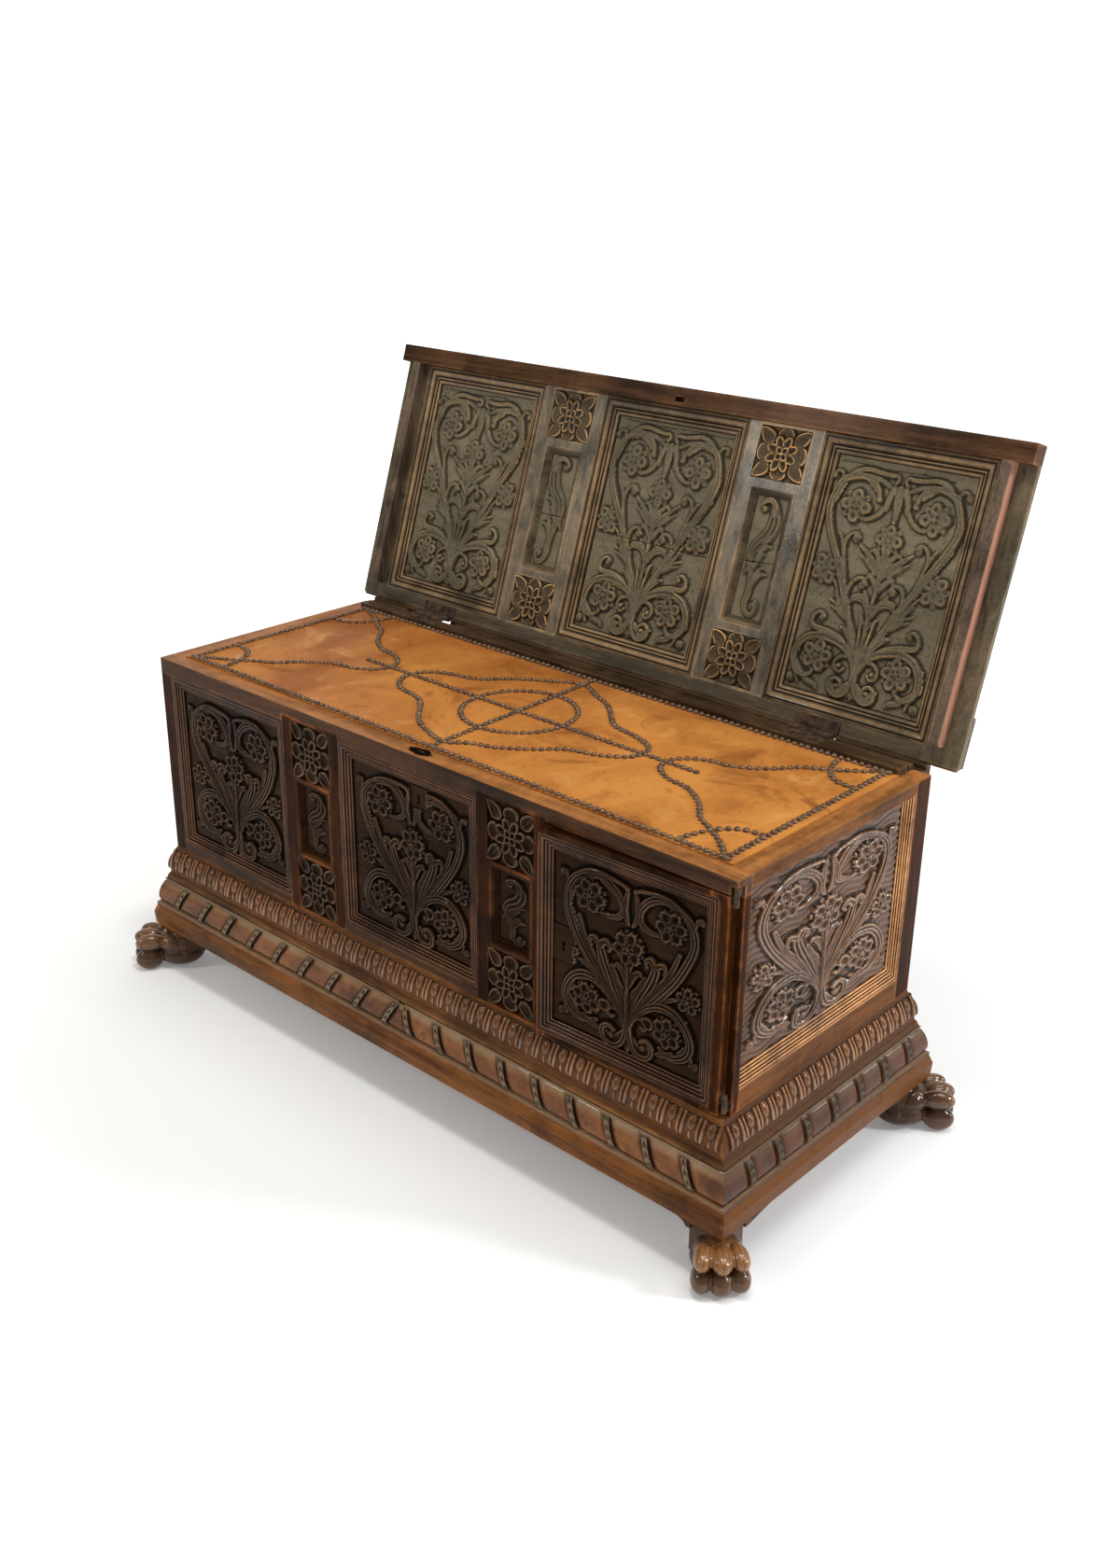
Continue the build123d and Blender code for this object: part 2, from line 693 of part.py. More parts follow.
# ---------------------------------------------------------------- lid, laid out upright
# X along the lid, Z from the hinge line to the front edge, the underside facing -Y.
lid_half_w = half_w + lid_overhang
lid_low = lid_rear_gap
lid_high = lid_axis_y + half_d - lid_front_setback
lid_back = lid_face + lid_frame_thickness
lid_top = lid_back + lid_board_thickness
field_low = lid_low + lid_rear_rail
field_high = lid_high - lid_front_rail
field_out = lid_half_w - lid_end_stile
lid_muntin_in = muntin_centre - lid_muntin_width / 2
lid_muntin_out = muntin_centre + lid_muntin_width / 2
lid_bays = ((-field_out, -lid_muntin_out), (-lid_muntin_in, lid_muntin_in),
            (lid_muntin_out, field_out))
lid_middle = (field_low + field_high) / 2
lid_rosette_z = (field_low + lid_rosette_inset, field_high - lid_rosette_inset)
lid_narrow_height = (lid_rosette_z[1] - lid_rosette_z[0] - lid_rosette_height
                     - 2 * lid_narrow_margin)
lid_place = Pos(0, lid_axis_y, lid_axis_z) * Rot(-lid_lean, 0, 0)
lid_shut = Pos(0, lid_axis_y, lid_axis_z) * Rot(90, 0, 0)


def on_lid(node, *pieces):
    """Files the pieces of the lid where they stand when it leans open."""
    keep(node, *[lid_place * piece for piece in pieces])


front_rail = block(-lid_half_w, lid_half_w, lid_face - lid_raise, lid_back,
                   field_high, lid_high)
front_rail = fillet(front_rail.faces().sort_by(Axis.Y)[-1].edges().sort_by(Axis.Z)[1:],
                    lid_edge_radius)
front_rail -= lid_shut.inverse() * lid_mortise
end_stile = block(field_out, lid_half_w, lid_face, lid_back, lid_low, field_high)
end_stile = fillet(end_stile.edges().filter_by(Axis.Z).sort_by(lambda e: e.center().X
                                                               + e.center().Y)[-1],
                   lid_edge_radius)


def lid_muntin(centre):
    post = block(centre - lid_muntin_width / 2, centre + lid_muntin_width / 2, lid_face,
                 lid_back, field_low, field_high)
    post -= block(centre - narrow_width / 2, centre + narrow_width / 2, lid_face, lid_back,
                  lid_middle - lid_narrow_height / 2, lid_middle + lid_narrow_height / 2)
    for z in lid_rosette_z:
        post -= block(centre - lid_rosette_width / 2, centre + lid_rosette_width / 2, lid_face,
                      lid_face + rosette_sink, z - lid_rosette_height / 2,
                      z + lid_rosette_height / 2)
    return post


cleat_x1 = half_w - cleat_inset
cleat = block(cleat_x1 - cleat_width, cleat_x1, lid_face - lid_raise, lid_face,
              field_low + batten_inset / 2, field_high)
cleat = fillet(cleat.edges().filter_by(Axis.X).sort_by(lambda e: e.center().Y
                                                       + e.center().Z)[0], cleat_round)
board_x = lid_half_w - lid_edge_radius
batten_x = lid_half_w - batten_inset
rear_batten = block(-batten_x, batten_x, lid_top, lid_top + batten_thickness, lid_low,
                    lid_low + batten_width)
rear_batten = fillet(rear_batten.faces().sort_by(Axis.Y)[-1].edges(), batten_round)

on_lid("lid_front_rail", front_rail)
on_lid("lid_rear_rail",
       block(-field_out, field_out, lid_face, lid_back, lid_low, field_low))
on_lid("lid_end_stiles", *both_sides(end_stile))
on_lid("lid_muntins", lid_muntin(-muntin_centre), lid_muntin(muntin_centre))
lid_carving = tall_carving((lid_bays[1][1] - lid_bays[1][0]) / 2 - lid_moulding_width,
                           field_high - field_low - 2 * lid_moulding_width)
on_lid("lid_panels", *[block(x0, x1, lid_face + panel_recess, lid_back, field_low, field_high)
                       + Pos((x0 + x1) / 2, lid_face + panel_recess,
                             field_low + lid_moulding_width) * lid_carving
                       for x0, x1 in lid_bays])
on_lid("lid_mouldings", *[piece for x0, x1 in lid_bays
                          for piece in framed(x0, x1, lid_face, field_low, field_high,
                                              lid_section, lid_moulding_width)])
on_lid("lid_narrow_panels", *[Pos(x, lid_face, lid_middle) * narrow_board(lid_narrow_height)
                              for x in (-muntin_centre, muntin_centre)])
on_lid("lid_rosettes", *[Pos(x, lid_face + rosette_sink, z)
                         * rosette(lid_rosette_width, lid_rosette_height)
                         for x in (-muntin_centre, muntin_centre) for z in lid_rosette_z])
on_lid("lid_cleats", *both_sides(cleat))
on_lid("lid_top_board",
       block(-board_x, board_x, lid_back, lid_top, lid_low, lid_high - lid_edge_radius))
on_lid("lid_rear_batten", rear_batten)
on_lid("lid_hinge_lid_leaves", *[lid_half(centre) for centre in hinge_xs])

# ---------------------------------------------------------------- door, laid out shut
door_place = (Pos(door_axis_x, door_axis_y, 0) * Rot(0, 0, door_ajar)
              * Pos(-door_axis_x, -door_axis_y, 0))
trim_x0 = door_x0 + door_left_margin
trim_x1 = door_x1 - door_right_margin
trim_z0 = door_z0 + door_rail_margin
trim_z1 = door_z1 - door_rail_margin
light_x0 = trim_x0 + door_frame_cover
light_x1 = trim_x1 - door_frame_cover
light_z0 = trim_z0 + door_frame_cover
light_z1 = trim_z1 - door_frame_cover
door_panel_y = front_y + panel_recess
trim_bed = block(trim_x0, trim_x1, front_y, door_panel_y, trim_z0, trim_z1)


def on_door(node, *pieces):
    """Files the pieces of the door where they stand when it is ajar."""
    keep(node, *[door_place * piece for piece in pieces])


door_stiles = [block(door_x0, light_x0, front_y, door_back_y, door_z0, door_z1),
               block(light_x1, door_x1, front_y, door_back_y, door_z0, door_z1)]
door_rails = [block(light_x0, light_x1, front_y, door_back_y, door_z0, light_z0),
              block(light_x0, light_x1, front_y, door_back_y, light_z1, door_z1)]
leaf_beds = [door_leaf(z0) for z0 in door_eye_z]
door_panel = block(light_x0, light_x1, door_panel_y, door_back_y, light_z0, light_z1)
door_keyhole_x = door_x0 + door_keyhole_inset
door_patch = block(trim_x0, door_keyhole_x + keyhole_patch_width / 2, front_y, door_panel_y,
                   door_lock_z - door_patch_height / 2, door_lock_z + door_patch_height / 2)
door_panel += (Pos((trim_x0 + trim_x1) / 2 + outer_carving_shift, door_panel_y,
                   trim_z0 + moulding_width)
               * broad_carving((trim_x1 - trim_x0) / 2 - moulding_width,
                               trim_z1 - trim_z0 - 2 * moulding_width)) - door_patch
door_panel -= keyhole(door_keyhole_x, door_panel_y, door_lock_z, 2 * door_rebate)
on_door("door_stiles", *[piece - trim_bed - leaf_beds for piece in door_stiles])
on_door("door_rails", *[piece - trim_bed for piece in door_rails])
on_door("door_panel", door_panel)
on_door("door_moulding", *framed(trim_x0, trim_x1, front_y, trim_z0, trim_z1,
                                 front_section, moulding_width))
on_door("door_hinge_door_eyes", *door_eyes)


# ---------------------------------------------------------------- locks
lid_bolt = block(lid_lock_x - lid_bolt_width / 2, lid_lock_x + lid_bolt_width / 2, lid_bolt_y0,
                 lid_bolt_y0 + lid_bolt_thickness, lid_bolt_z1 - lid_bolt_length, lid_bolt_z1)
lid_bolt_way = block(lid_lock_x - lid_bolt_width / 2 - bolt_clearance,
                     lid_lock_x + lid_bolt_width / 2 + bolt_clearance,
                     lid_bolt_y0 - bolt_clearance,
                     lid_bolt_y0 + lid_bolt_thickness + bolt_clearance,
                     lid_bolt_z1 - lid_bolt_length - bolt_clearance, rim_z)
lid_lock = block(lid_lock_x - lid_lock_width / 2, lid_lock_x + lid_lock_width / 2, rebate_y,
                 rebate_y + lid_lock_thickness, bay_high_z - lid_lock_height, bay_high_z)
keep("lid_lock_case", lid_lock - lid_bolt_way)
keep("lid_lock_bolt", lid_bolt)

door_bolt_x1 = door_bolt_x0 + door_bolt_length
door_bolt = block(door_bolt_x0, door_bolt_x1, door_bolt_y - door_bolt_thickness / 2,
                  door_bolt_y + door_bolt_thickness / 2, door_lock_z - door_bolt_height / 2,
                  door_lock_z + door_bolt_height / 2)
door_bolt_way = block(door_bolt_x0, door_bolt_x1 + bolt_clearance,
                      door_bolt_y - door_bolt_thickness / 2 - bolt_clearance,
                      door_bolt_y + door_bolt_thickness / 2 + bolt_clearance,
                      door_lock_z - door_bolt_height / 2 - bolt_clearance,
                      door_lock_z + door_bolt_height / 2 + bolt_clearance)
door_lock = block(door_lock_x0, door_lock_x0 + door_lock_width, door_back_y,
                  door_back_y + door_lock_thickness, door_lock_z - door_lock_height / 2,
                  door_lock_z + door_lock_height / 2)
on_door("door_lock_case", door_lock - door_bolt_way)
on_door("door_lock_bolt", door_bolt)


# ---------------------------------------------------------------- plinth
def plinth_course(z, section, outward):
    """One course of the plinth: four boards mitred at the corners, moulded on the outside.

    The section's first coordinate is height, its second how far it stands out of the case.
    """
    boards = []
    for turn, long, across in ((0, case_width, case_depth), (90, case_depth, case_width),
                               (180, case_width, case_depth), (270, case_depth, case_width)):
        span = long + 2 * outward
        outline = Polyline((-span / 2, -across / 2 - outward), (span / 2, -across / 2 - outward),
                           (long / 2 - plinth_inner, -across / 2 + plinth_inner),
                           (-long / 2 + plinth_inner, -across / 2 + plinth_inner), close=True)
        bar = Pos(-span / 2, -across / 2, z) * strip(section, span)
        mitre = extrude(make_face(outline), amount=rim_z, both=True)
        boards.append(Rot(0, 0, turn) * (bar & mitre))
    return boards


with BuildLine() as ovolo_line:
    lip = (ovolo_height * 0.84, ovolo_out * 0.3)
    swell = (ovolo_height * 0.62, ovolo_out * 0.82)
    foot = (ovolo_height * 0.33, ovolo_out)
    fillet_top = (ovolo_height * 0.13, ovolo_out)
    Polyline((0, -plinth_inner), (ovolo_height, -plinth_inner), (ovolo_height, 0), lip)
    ThreePointArc(lip, swell, foot)
    ThreePointArc(foot, (ovolo_height * 0.23, ovolo_out - cavetto_depth), fillet_top)
    Polyline(fillet_top, (0, torus_top_out), (0, -plinth_inner))
with BuildLine() as torus_line:
    belly = (torus_height * 0.23, torus_out)
    Polyline((0, -plinth_inner), (torus_height, -plinth_inner), (torus_height, torus_top_out))
    ThreePointArc((torus_height, torus_top_out),
                  (torus_height * 0.53, torus_top_out + (torus_out - torus_top_out) * 0.83), belly)
    Polyline(belly, (torus_height * 0.07, torus_out), (0, torus_out + torus_fillet),
             (0, -plinth_inner))
with BuildLine() as base_line:
    Polyline((0, -plinth_inner), (base_height, -plinth_inner),
             (base_height, torus_out + torus_fillet), (base_height * 0.63, base_out + base_swell),
             (0, base_out), (0, -plinth_inner))
keep("plinth_ovolo", *plinth_course(ovolo_z, make_face(ovolo_line.line), torus_top_out))
keep("plinth_torus", *plinth_course(torus_z, make_face(torus_line.line),
                                    torus_out + torus_fillet))
keep("plinth_base", *plinth_course(foot_height, make_face(base_line.line),
                                   base_out + base_swell))

# ---------------------------------------------------------------- feet
cap_x1 = half_w + base_out - cap_setback
cap_y1 = half_d + base_out - cap_setback
cap = Part()
for step in range(cap_steps):
    inset = step * cap_step
    cap += block(cap_x1 - cap_size, cap_x1 - inset, cap_y1 - cap_size, cap_y1 - inset,
                 foot_height - inset - cap_step, foot_height - inset)
paw_height = foot_height - cap_steps * cap_step
keep("foot_caps", *four_corners(cap))

with BuildLine() as bracket_line:
    Polyline((0, -bracket_height), (0, 0), (bracket_length, 0))
    RadiusArc((bracket_length, 0), (0, -bracket_height), bracket_length * 1.2)
bracket_face = make_face(bracket_line.line)
long_bracket = extrude(Plane(origin=(cap_x1 - cap_size, cap_y1, foot_height), x_dir=(-1, 0, 0),
                             z_dir=(0, 1, 0)) * bracket_face, amount=-bracket_thickness)
short_bracket = extrude(Plane(origin=(cap_x1, cap_y1 - cap_size, foot_height), x_dir=(0, -1, 0),
                              z_dir=(-1, 0, 0)) * bracket_face, amount=bracket_thickness)
keep("plinth_brackets", *four_corners(long_bracket), *four_corners(short_bracket))


def toe(reach, width):
    """One toe, pointing along +X: a knuckle above a notch and a rounded end below it."""
    profile = Polyline((-toe_width, 0), (-toe_width, paw_height * 0.8),
                       (-toe_notch, paw_height * 0.92), (reach * 0.45, paw_height * 0.97),
                       (reach - toe_notch * 0.4, paw_height * 0.88), (reach, paw_height * 0.66),
                       (reach - toe_notch, paw_height * 0.41),
                       (reach - toe_notch * 0.4, paw_height * 0.22),
                       (reach - toe_notch * 1.4, 0), close=True)
    side = extrude(Plane.XZ * make_face(profile), amount=width, both=True)
    length = reach + 2 * width
    round_end = width * toe_round
    plan = Rectangle(length, width)
    plan = extrude(Pos(reach - length / 2, 0) * chamfer(plan.vertices(), round_end),
                   amount=paw_height)
    front = Rectangle(width, 2 * paw_height)
    front = extrude(Plane.YZ * chamfer(front.vertices(), round_end), amount=2 * length, both=True)
    return side & plan & front


def paw():
    """Lion paw, pointing along +X from the corner of the plinth, standing on Z = 0."""
    profile = Polyline((-paw_heel, paw_height * 0.5), (-paw_heel, paw_height),
                       (-toe_notch, paw_height), (toe_notch, paw_height * 0.72),
                       (toe_notch, 0), (-paw_heel * 0.55, 0), (-paw_heel * 0.87, paw_height * 0.18),
                       close=True)
    body = extrude(Plane.XZ * make_face(profile), amount=paw_body_width, both=True)
    length = paw_heel + toe_notch
    plan = Rectangle(length, paw_body_width)
    body &= extrude(Pos(toe_notch - length / 2, 0) * chamfer(plan.vertices(), paw_body_round),
                    amount=paw_height)
    body += toe(toe_reach, toe_width)
    for hand in (-1, 1):
        body += (Pos(0, hand * side_toe_offset, 0) * Rot(0, 0, hand * side_toe_splay)
                 * toe(side_toe_reach, side_toe_width))
    return body


lion_paw = paw()
for node, hand_x, hand_y, turn in (("paw_rear_right", 1, 1, 45), ("paw_rear_left", -1, 1, 135),
                                   ("paw_front_left", -1, -1, 225),
                                   ("paw_front_right", 1, -1, 315)):
    corner = Pos(hand_x * (half_w + base_out), hand_y * (half_d + base_out), 0)
    keep(node, corner * Rot(0, 0, turn) * lion_paw)

# ---------------------------------------------------------------- to the middle of its floor
boxes = [solid.bounding_box() for pieces in solids.values() for solid in pieces]
middle_x = (min(box.min.X for box in boxes) + max(box.max.X for box in boxes)) / 2
middle_y = (min(box.min.Y for box in boxes) + max(box.max.Y for box in boxes)) / 2
floor_z = min(box.min.Z for box in boxes)
to_origin = Pos(-middle_x, -middle_y, -floor_z)

os.makedirs("parts", exist_ok=True)
for node, pieces in solids.items():
    placed = [to_origin * piece for piece in pieces]
    export_step(placed[0] if len(placed) == 1 else Compound(children=placed),
                "parts/" + node + ".step")
print("nodes", len(solids), "moved by", -middle_x, -middle_y, -floor_z)
print("lid axis", lid_axis_y - middle_y, lid_axis_z - floor_z)
print("door axis", door_axis_x - middle_x, door_axis_y - middle_y)
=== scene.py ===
import math

import bmesh
import bpy
import numpy as np
from mathutils import Matrix, Vector
from mathutils.bvhtree import BVHTree


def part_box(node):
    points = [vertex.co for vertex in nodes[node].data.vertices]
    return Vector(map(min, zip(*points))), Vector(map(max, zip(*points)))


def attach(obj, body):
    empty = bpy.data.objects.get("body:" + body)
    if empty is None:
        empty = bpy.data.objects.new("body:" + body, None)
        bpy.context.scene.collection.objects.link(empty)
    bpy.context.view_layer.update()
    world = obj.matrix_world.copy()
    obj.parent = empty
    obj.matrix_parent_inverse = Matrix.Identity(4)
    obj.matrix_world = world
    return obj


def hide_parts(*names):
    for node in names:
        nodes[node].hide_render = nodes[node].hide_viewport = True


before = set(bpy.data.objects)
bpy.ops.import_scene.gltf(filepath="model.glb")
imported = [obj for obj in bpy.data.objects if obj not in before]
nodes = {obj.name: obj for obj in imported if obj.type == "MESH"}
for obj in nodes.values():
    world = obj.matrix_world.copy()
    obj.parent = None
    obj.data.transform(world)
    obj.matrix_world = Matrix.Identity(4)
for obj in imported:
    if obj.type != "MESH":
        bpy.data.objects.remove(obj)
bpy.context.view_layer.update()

# The room: the chest stands on a plain pale floor under soft daylight from above and behind, and is
# seen from standing height beyond its right front corner.


def link(name, data):
    """A new object of that data, in the scene."""
    made = bpy.data.objects.new(name, data)
    bpy.context.scene.collection.objects.link(made)
    return made


eye = Vector((1.782, -1.9076, 1.6304))
turn, dip, tilt = math.radians(42.04), math.radians(23.49), math.radians(0.715)
ahead = Vector((-math.sin(turn) * math.cos(dip), math.cos(turn) * math.cos(dip), -math.sin(dip)))
level = Vector((math.cos(turn), math.sin(turn), 0))
rise = level.cross(ahead)
right = level * math.cos(tilt) + rise * math.sin(tilt)
up = rise * math.cos(tilt) - level * math.sin(tilt)
lens = bpy.data.cameras.new("view")
lens.sensor_fit = "VERTICAL"
lens.sensor_height = 36
lens.lens = 36.58
lens.clip_start = 0.05
camera = link("view", lens)
camera.matrix_world = Matrix((
    (right.x, up.x, -ahead.x, eye.x),
    (right.y, up.y, -ahead.y, eye.y),
    (right.z, up.z, -ahead.z, eye.z),
    (0, 0, 0, 1)))
bpy.context.scene.camera = camera


def softbox(name, place, aim, width, height, watts, colour):
    """A rectangular lamp that faces aim."""
    lamp = bpy.data.lights.new(name, "AREA")
    lamp.shape = "RECTANGLE"
    lamp.size, lamp.size_y = width, height
    lamp.energy = watts
    lamp.color = colour
    holder = link(name, lamp)
    holder.location = place
    holder.rotation_euler = (Vector(aim) - Vector(place)).to_track_quat("-Z", "Y").to_euler()


softbox("window", (3.4, 1.5, 2.5), (0.5, 0, 0.5), 0.5, 0.7, 66, (0.95, 0.97, 1))
softbox("far_window", (-2.0, -3.0, 2.7), (0, 0, 0.5), 0.4, 0.6, 26, (1, 0.96, 0.9))
softbox("roof_light", (0.3, -0.35, 3.2), (0, 0, 0.5), 0.4, 0.4, 22, (1, 0.98, 0.95))
softbox("low_window", (3.0, 2.5, 0.8), (0.66, 0.1, 0.45), 0.5, 0.6, 15, (0.95, 0.97, 1))
day = bpy.data.lights.new("daylight", "SUN")
day.energy, day.angle = 0.9, math.radians(30)
link("daylight", day).rotation_euler = (math.radians(-8), math.radians(10), 0)
room = bpy.data.worlds.new("room")
room.use_nodes = True
sky = room.node_tree.nodes["Background"].inputs
sky["Color"].default_value, sky["Strength"].default_value = (1, 1, 1, 1), 0.34
bpy.context.scene.world = room
bpy.context.scene.view_settings.view_transform = "Standard"


def add_node(tree, kind, settings, inputs):
    """A node with its settings, and each input joined to a socket or given a plain value."""
    made = tree.nodes.new(kind)
    for name, value in settings.items():
        setattr(made, name, value)
    for name, value in inputs.items():
        socket = made.inputs[name]
        if isinstance(value, bpy.types.NodeSocket):
            tree.links.new(value, socket)
        else:
            socket.default_value = (*value, 1) if socket.type == "RGBA" else value
    return made


class Wire:
    """One output of a shader node. Sums on wires add Math nodes to the finish that they belong to."""

    def __init__(self, finish, socket):
        self.finish, self.socket = finish, socket

    def sum(self, operation, first, second):
        return self.finish.node("ShaderNodeMath", {"operation": operation}, {0: first, 1: second})

    def __add__(self, other):
        return self.sum("ADD", self, other)

    def __sub__(self, other):
        return self.sum("SUBTRACT", self, other)

    def __rsub__(self, other):
        return self.sum("SUBTRACT", other, self)

    def __mul__(self, other):
        return self.sum("MULTIPLY", self, other)

    __radd__, __rmul__ = __add__, __mul__


class Finish:
    """A finish being mixed. node() adds any node and gives one of its outputs."""

    def __init__(self, name):
        self.material = bpy.data.materials.new(name)
        self.material.use_nodes = True
        self.tree = self.material.node_tree
        self.tree.nodes.clear()

    def node(self, kind, settings={}, inputs={}, output=0):
        made = add_node(self.tree, kind, settings, {
            name: value.socket if isinstance(value, Wire) else value for name, value in inputs.items()})
        return Wire(self, made.outputs[output] if made.outputs else None)

    def noise(self, place, scale, detail=4.0, rough=0.55, twist=0.0):
        """Soft random values from 0 to 1."""
        return self.node("ShaderNodeTexNoise", {}, {
            "Vector": place, "Scale": scale, "Detail": detail, "Roughness": rough, "Distortion": twist})

    def place(self):
        return self.node("ShaderNodeTexCoord", {}, {}, "Object")

    def stretched(self, place, scale):
        """Places drawn out along the grain, which is the axis with the smallest scale."""
        return self.node("ShaderNodeMapping", {}, {"Vector": place, "Scale": scale})

    def part(self, vector, axis):
        """One axis of a vector."""
        return self.node("ShaderNodeSeparateXYZ", {}, {0: vector}, axis)

    def facing(self, axis):
        """How far the surface faces along an axis, from -1 to 1."""
        return self.part(self.node("ShaderNodeNewGeometry", {}, {}, "Normal"), axis)

    def mark(self, name):
        """What a piece's mesh says of its worn edges or of its hollows, from 0 to 1."""
        return self.node("ShaderNodeAttribute", {"attribute_name": name}, {}, "Fac")

    def between(self, value, low, high, to_low=0.0, to_high=1.0):
        """value's range from low to high, spread over another range and held there."""
        return self.node("ShaderNodeMapRange", {}, {
            "Value": value, "From Min": low, "From Max": high, "To Min": to_low, "To Max": to_high})

    def blend(self, share, first, second, how="MIX"):
        """One colour over another."""
        return self.node("ShaderNodeMix", {"data_type": "RGBA", "blend_type": how}, {
            0: share, 6: first, 7: second}, 2)

    def bump(self, height, strength, depth):
        return self.node("ShaderNodeBump", {}, {"Height": height, "Strength": strength, "Distance": depth})

    def done(self, **inputs):
        """Joins everything to the surface and gives the material."""
        named = {name.replace("_", " "): value for name, value in inputs.items()}
        shader = self.node("ShaderNodeBsdfPrincipled", {}, {"Specular IOR Level": 0.2, **named})
        self.node("ShaderNodeOutputMaterial", {}, {"Surface": shader})
        return self.material


floor_paint = Finish("studio_floor")
spot = floor_paint.place()
speckle = floor_paint.noise(spot, 3.0)
away = floor_paint.node("ShaderNodeVectorMath", {"operation": "LENGTH"}, {0: spot}, 1)
glow = floor_paint.between(away, 0.8, 3.0, 0.16, 0.66)
wall_distance = 150
bpy.ops.mesh.primitive_plane_add(size=400, location=(0, 0, 0))
ground = bpy.context.object
ground.name = "studio_floor"
ground.data.materials.append(floor_paint.done(
    Base_Color=floor_paint.blend(speckle, (0.90, 0.90, 0.89), (0.92, 0.92, 0.91)), Roughness=0.95,
    Emission_Color=floor_paint.blend(glow, (0.0, 0.0, 0.0), (1.0, 1.0, 1.0)), Emission_Strength=1.0))
wall_paint = Finish("studio_wall")
bpy.ops.mesh.primitive_plane_add(size=1, location=(ahead.x * wall_distance, ahead.y * wall_distance, 0))
wall = bpy.context.object
wall.name = "studio_wall"
wall.scale = (260, 90, 1)
wall.rotation_euler = (math.pi / 2, 0, turn)
wall.data.materials.append(wall_paint.done(
    Base_Color=(0.8, 0.8, 0.8), Roughness=1.0, Emission_Color=(1.0, 1.0, 1.0), Emission_Strength=0.75))

# The timber of the case: rails, stiles, panels and boards of walnut, joined and pegged, rubbed and
# waxed for centuries. It is nearly black where hands don't reach and red-brown or tan on its edges. The
# tan on the rim's top is hand wear with painted light from above in it.


def walnut(name, deep, warm, worn, grain="X", wear=0.6, gloss=0.34, coat=0.03, top=None, shine=0.08,
           painted_side_light=None):
    """Old walnut: two browns in long grain, dark pores, and a third colour on the edges.

    top is the colour of the rim's upward faces: hand wear with painted light from above in it. The side colour
    is painted light and shade for the faces that look out at the two ends."""
    wood = Finish(name)
    place = wood.place()
    run = wood.stretched(place, [1.0 if axis == grain else 14.0 for axis in "XYZ"])
    figure = wood.noise(run, 3.2, 6.0, 0.68, 0.7)
    pores = wood.noise(run, 34.0, 3.0, 0.6, 0.1)
    patch = wood.noise(place, 5.5, 5.0, 0.65, 0.5)
    colour = wood.blend(wood.between(figure * 0.55 + patch * 0.45, 0.4, 0.6), deep, warm)
    colour = wood.blend(wood.between(pores, 0.5, 0.72, 0.0, 0.6), colour, tuple(c * 0.35 for c in deep))
    edge = wood.node("ShaderNodeAmbientOcclusion", {"samples": 6, "inside": True, "only_local": True},
                     {"Distance": 0.007}, "AO")
    nick = wood.noise(place, 34.0, 4.0, 0.7)
    rubbed = wood.between(edge + (nick - 0.5) * 0.9, 0.75, 0.35) * wood.between(patch, 0.42, 0.6)
    colour = wood.blend(rubbed * wear, colour, worn)
    # The rim's upward faces take the top colour: hand wear, with painted light from above in it.
    if top:
        upward = wood.between(wood.facing("Z") + (figure - 0.5) * 0.3, 0.75, 0.95)
        on_rim = wood.between(wood.part(place, "Z"), 0.64, 0.645)
        mottle = wood.between(figure * 0.6 + nick * 0.4, 0.4, 0.62)
        colour = wood.blend(upward * on_rim, colour, wood.blend(mottle, tuple(c * 0.45 for c in top), top))
    # Painted light and shade: faces that look out at the two ends take the side colour, lighter on the lid's
    # cleats and darker on the plinth.
    if painted_side_light:
        outward = wood.between(wood.facing("X") * wood.part(place, "X"), 0.3, 0.5)
        colour = wood.blend(outward * wood.between(figure, 0.3, 0.55, 0.5, 1.0), colour, painted_side_light)
    rough = wood.between(patch * 0.6 + pores * 0.4, 0.35, 0.65, gloss - 0.1, gloss + 0.16)
    dents = wood.bump(figure * 0.5 + pores * 0.35 + nick * 0.25, 0.45, 0.0014)
    return wood.done(Base_Color=colour, Roughness=rough, Normal=dents, Coat_Weight=coat, Coat_Roughness=0.16,
                     Specular_IOR_Level=shine)


def dress(finish, *names):
    """Gives solids of the chest their finish."""
    for name in names:
        nodes[name].data.materials.clear()
        nodes[name].data.materials.append(finish)


rim_wear_and_top_light = (0.44, 0.175, 0.050)
case_x = walnut("walnut_case_rails", (0.018, 0.007, 0.002), (0.095, 0.036, 0.011), (0.34, 0.15, 0.05),
                top=rim_wear_and_top_light)
case_y = walnut("walnut_side_rails", (0.045, 0.016, 0.005), (0.190, 0.070, 0.020), (0.42, 0.18, 0.065), "Y",
                shine=0.04, top=rim_wear_and_top_light)
case_z = walnut("walnut_case_stiles", (0.010, 0.004, 0.001), (0.058, 0.017, 0.004), (0.38, 0.120, 0.034), "Z",
                wear=0.85, coat=0.0, top=rim_wear_and_top_light, shine=0.03)
# A darker copy of the case walnut, painted shade: the door's rails lie in shadow under the front rail. The
# plain panels under the carvings take it too.
door_x = walnut("walnut_door_rails", (0.007, 0.003, 0.001), (0.032, 0.011, 0.003), (0.18, 0.062, 0.019),
                coat=0.0, shine=0.03)
plain = walnut("walnut_plain_boards", (0.070, 0.040, 0.022), (0.160, 0.095, 0.052), (0.26, 0.16, 0.09),
               gloss=0.6, coat=0.0)
dress(case_x, "front_top_rail", "front_bottom_rails")
dress(case_y, "side_top_rails", "side_bottom_rails")
dress(case_z, "front_left_stile", "front_right_stile", "front_left_muntin", "front_right_muntin",
      "door_stiles", "rear_stiles")
dress(door_x, "door_rails", "front_centre_panel", "front_left_panel", "door_panel", "front_narrow_panels",
      "right_side_panel", "left_side_panel")
dress(plain, "back_boards", "floor_board", "deck_board", "deck_battens")

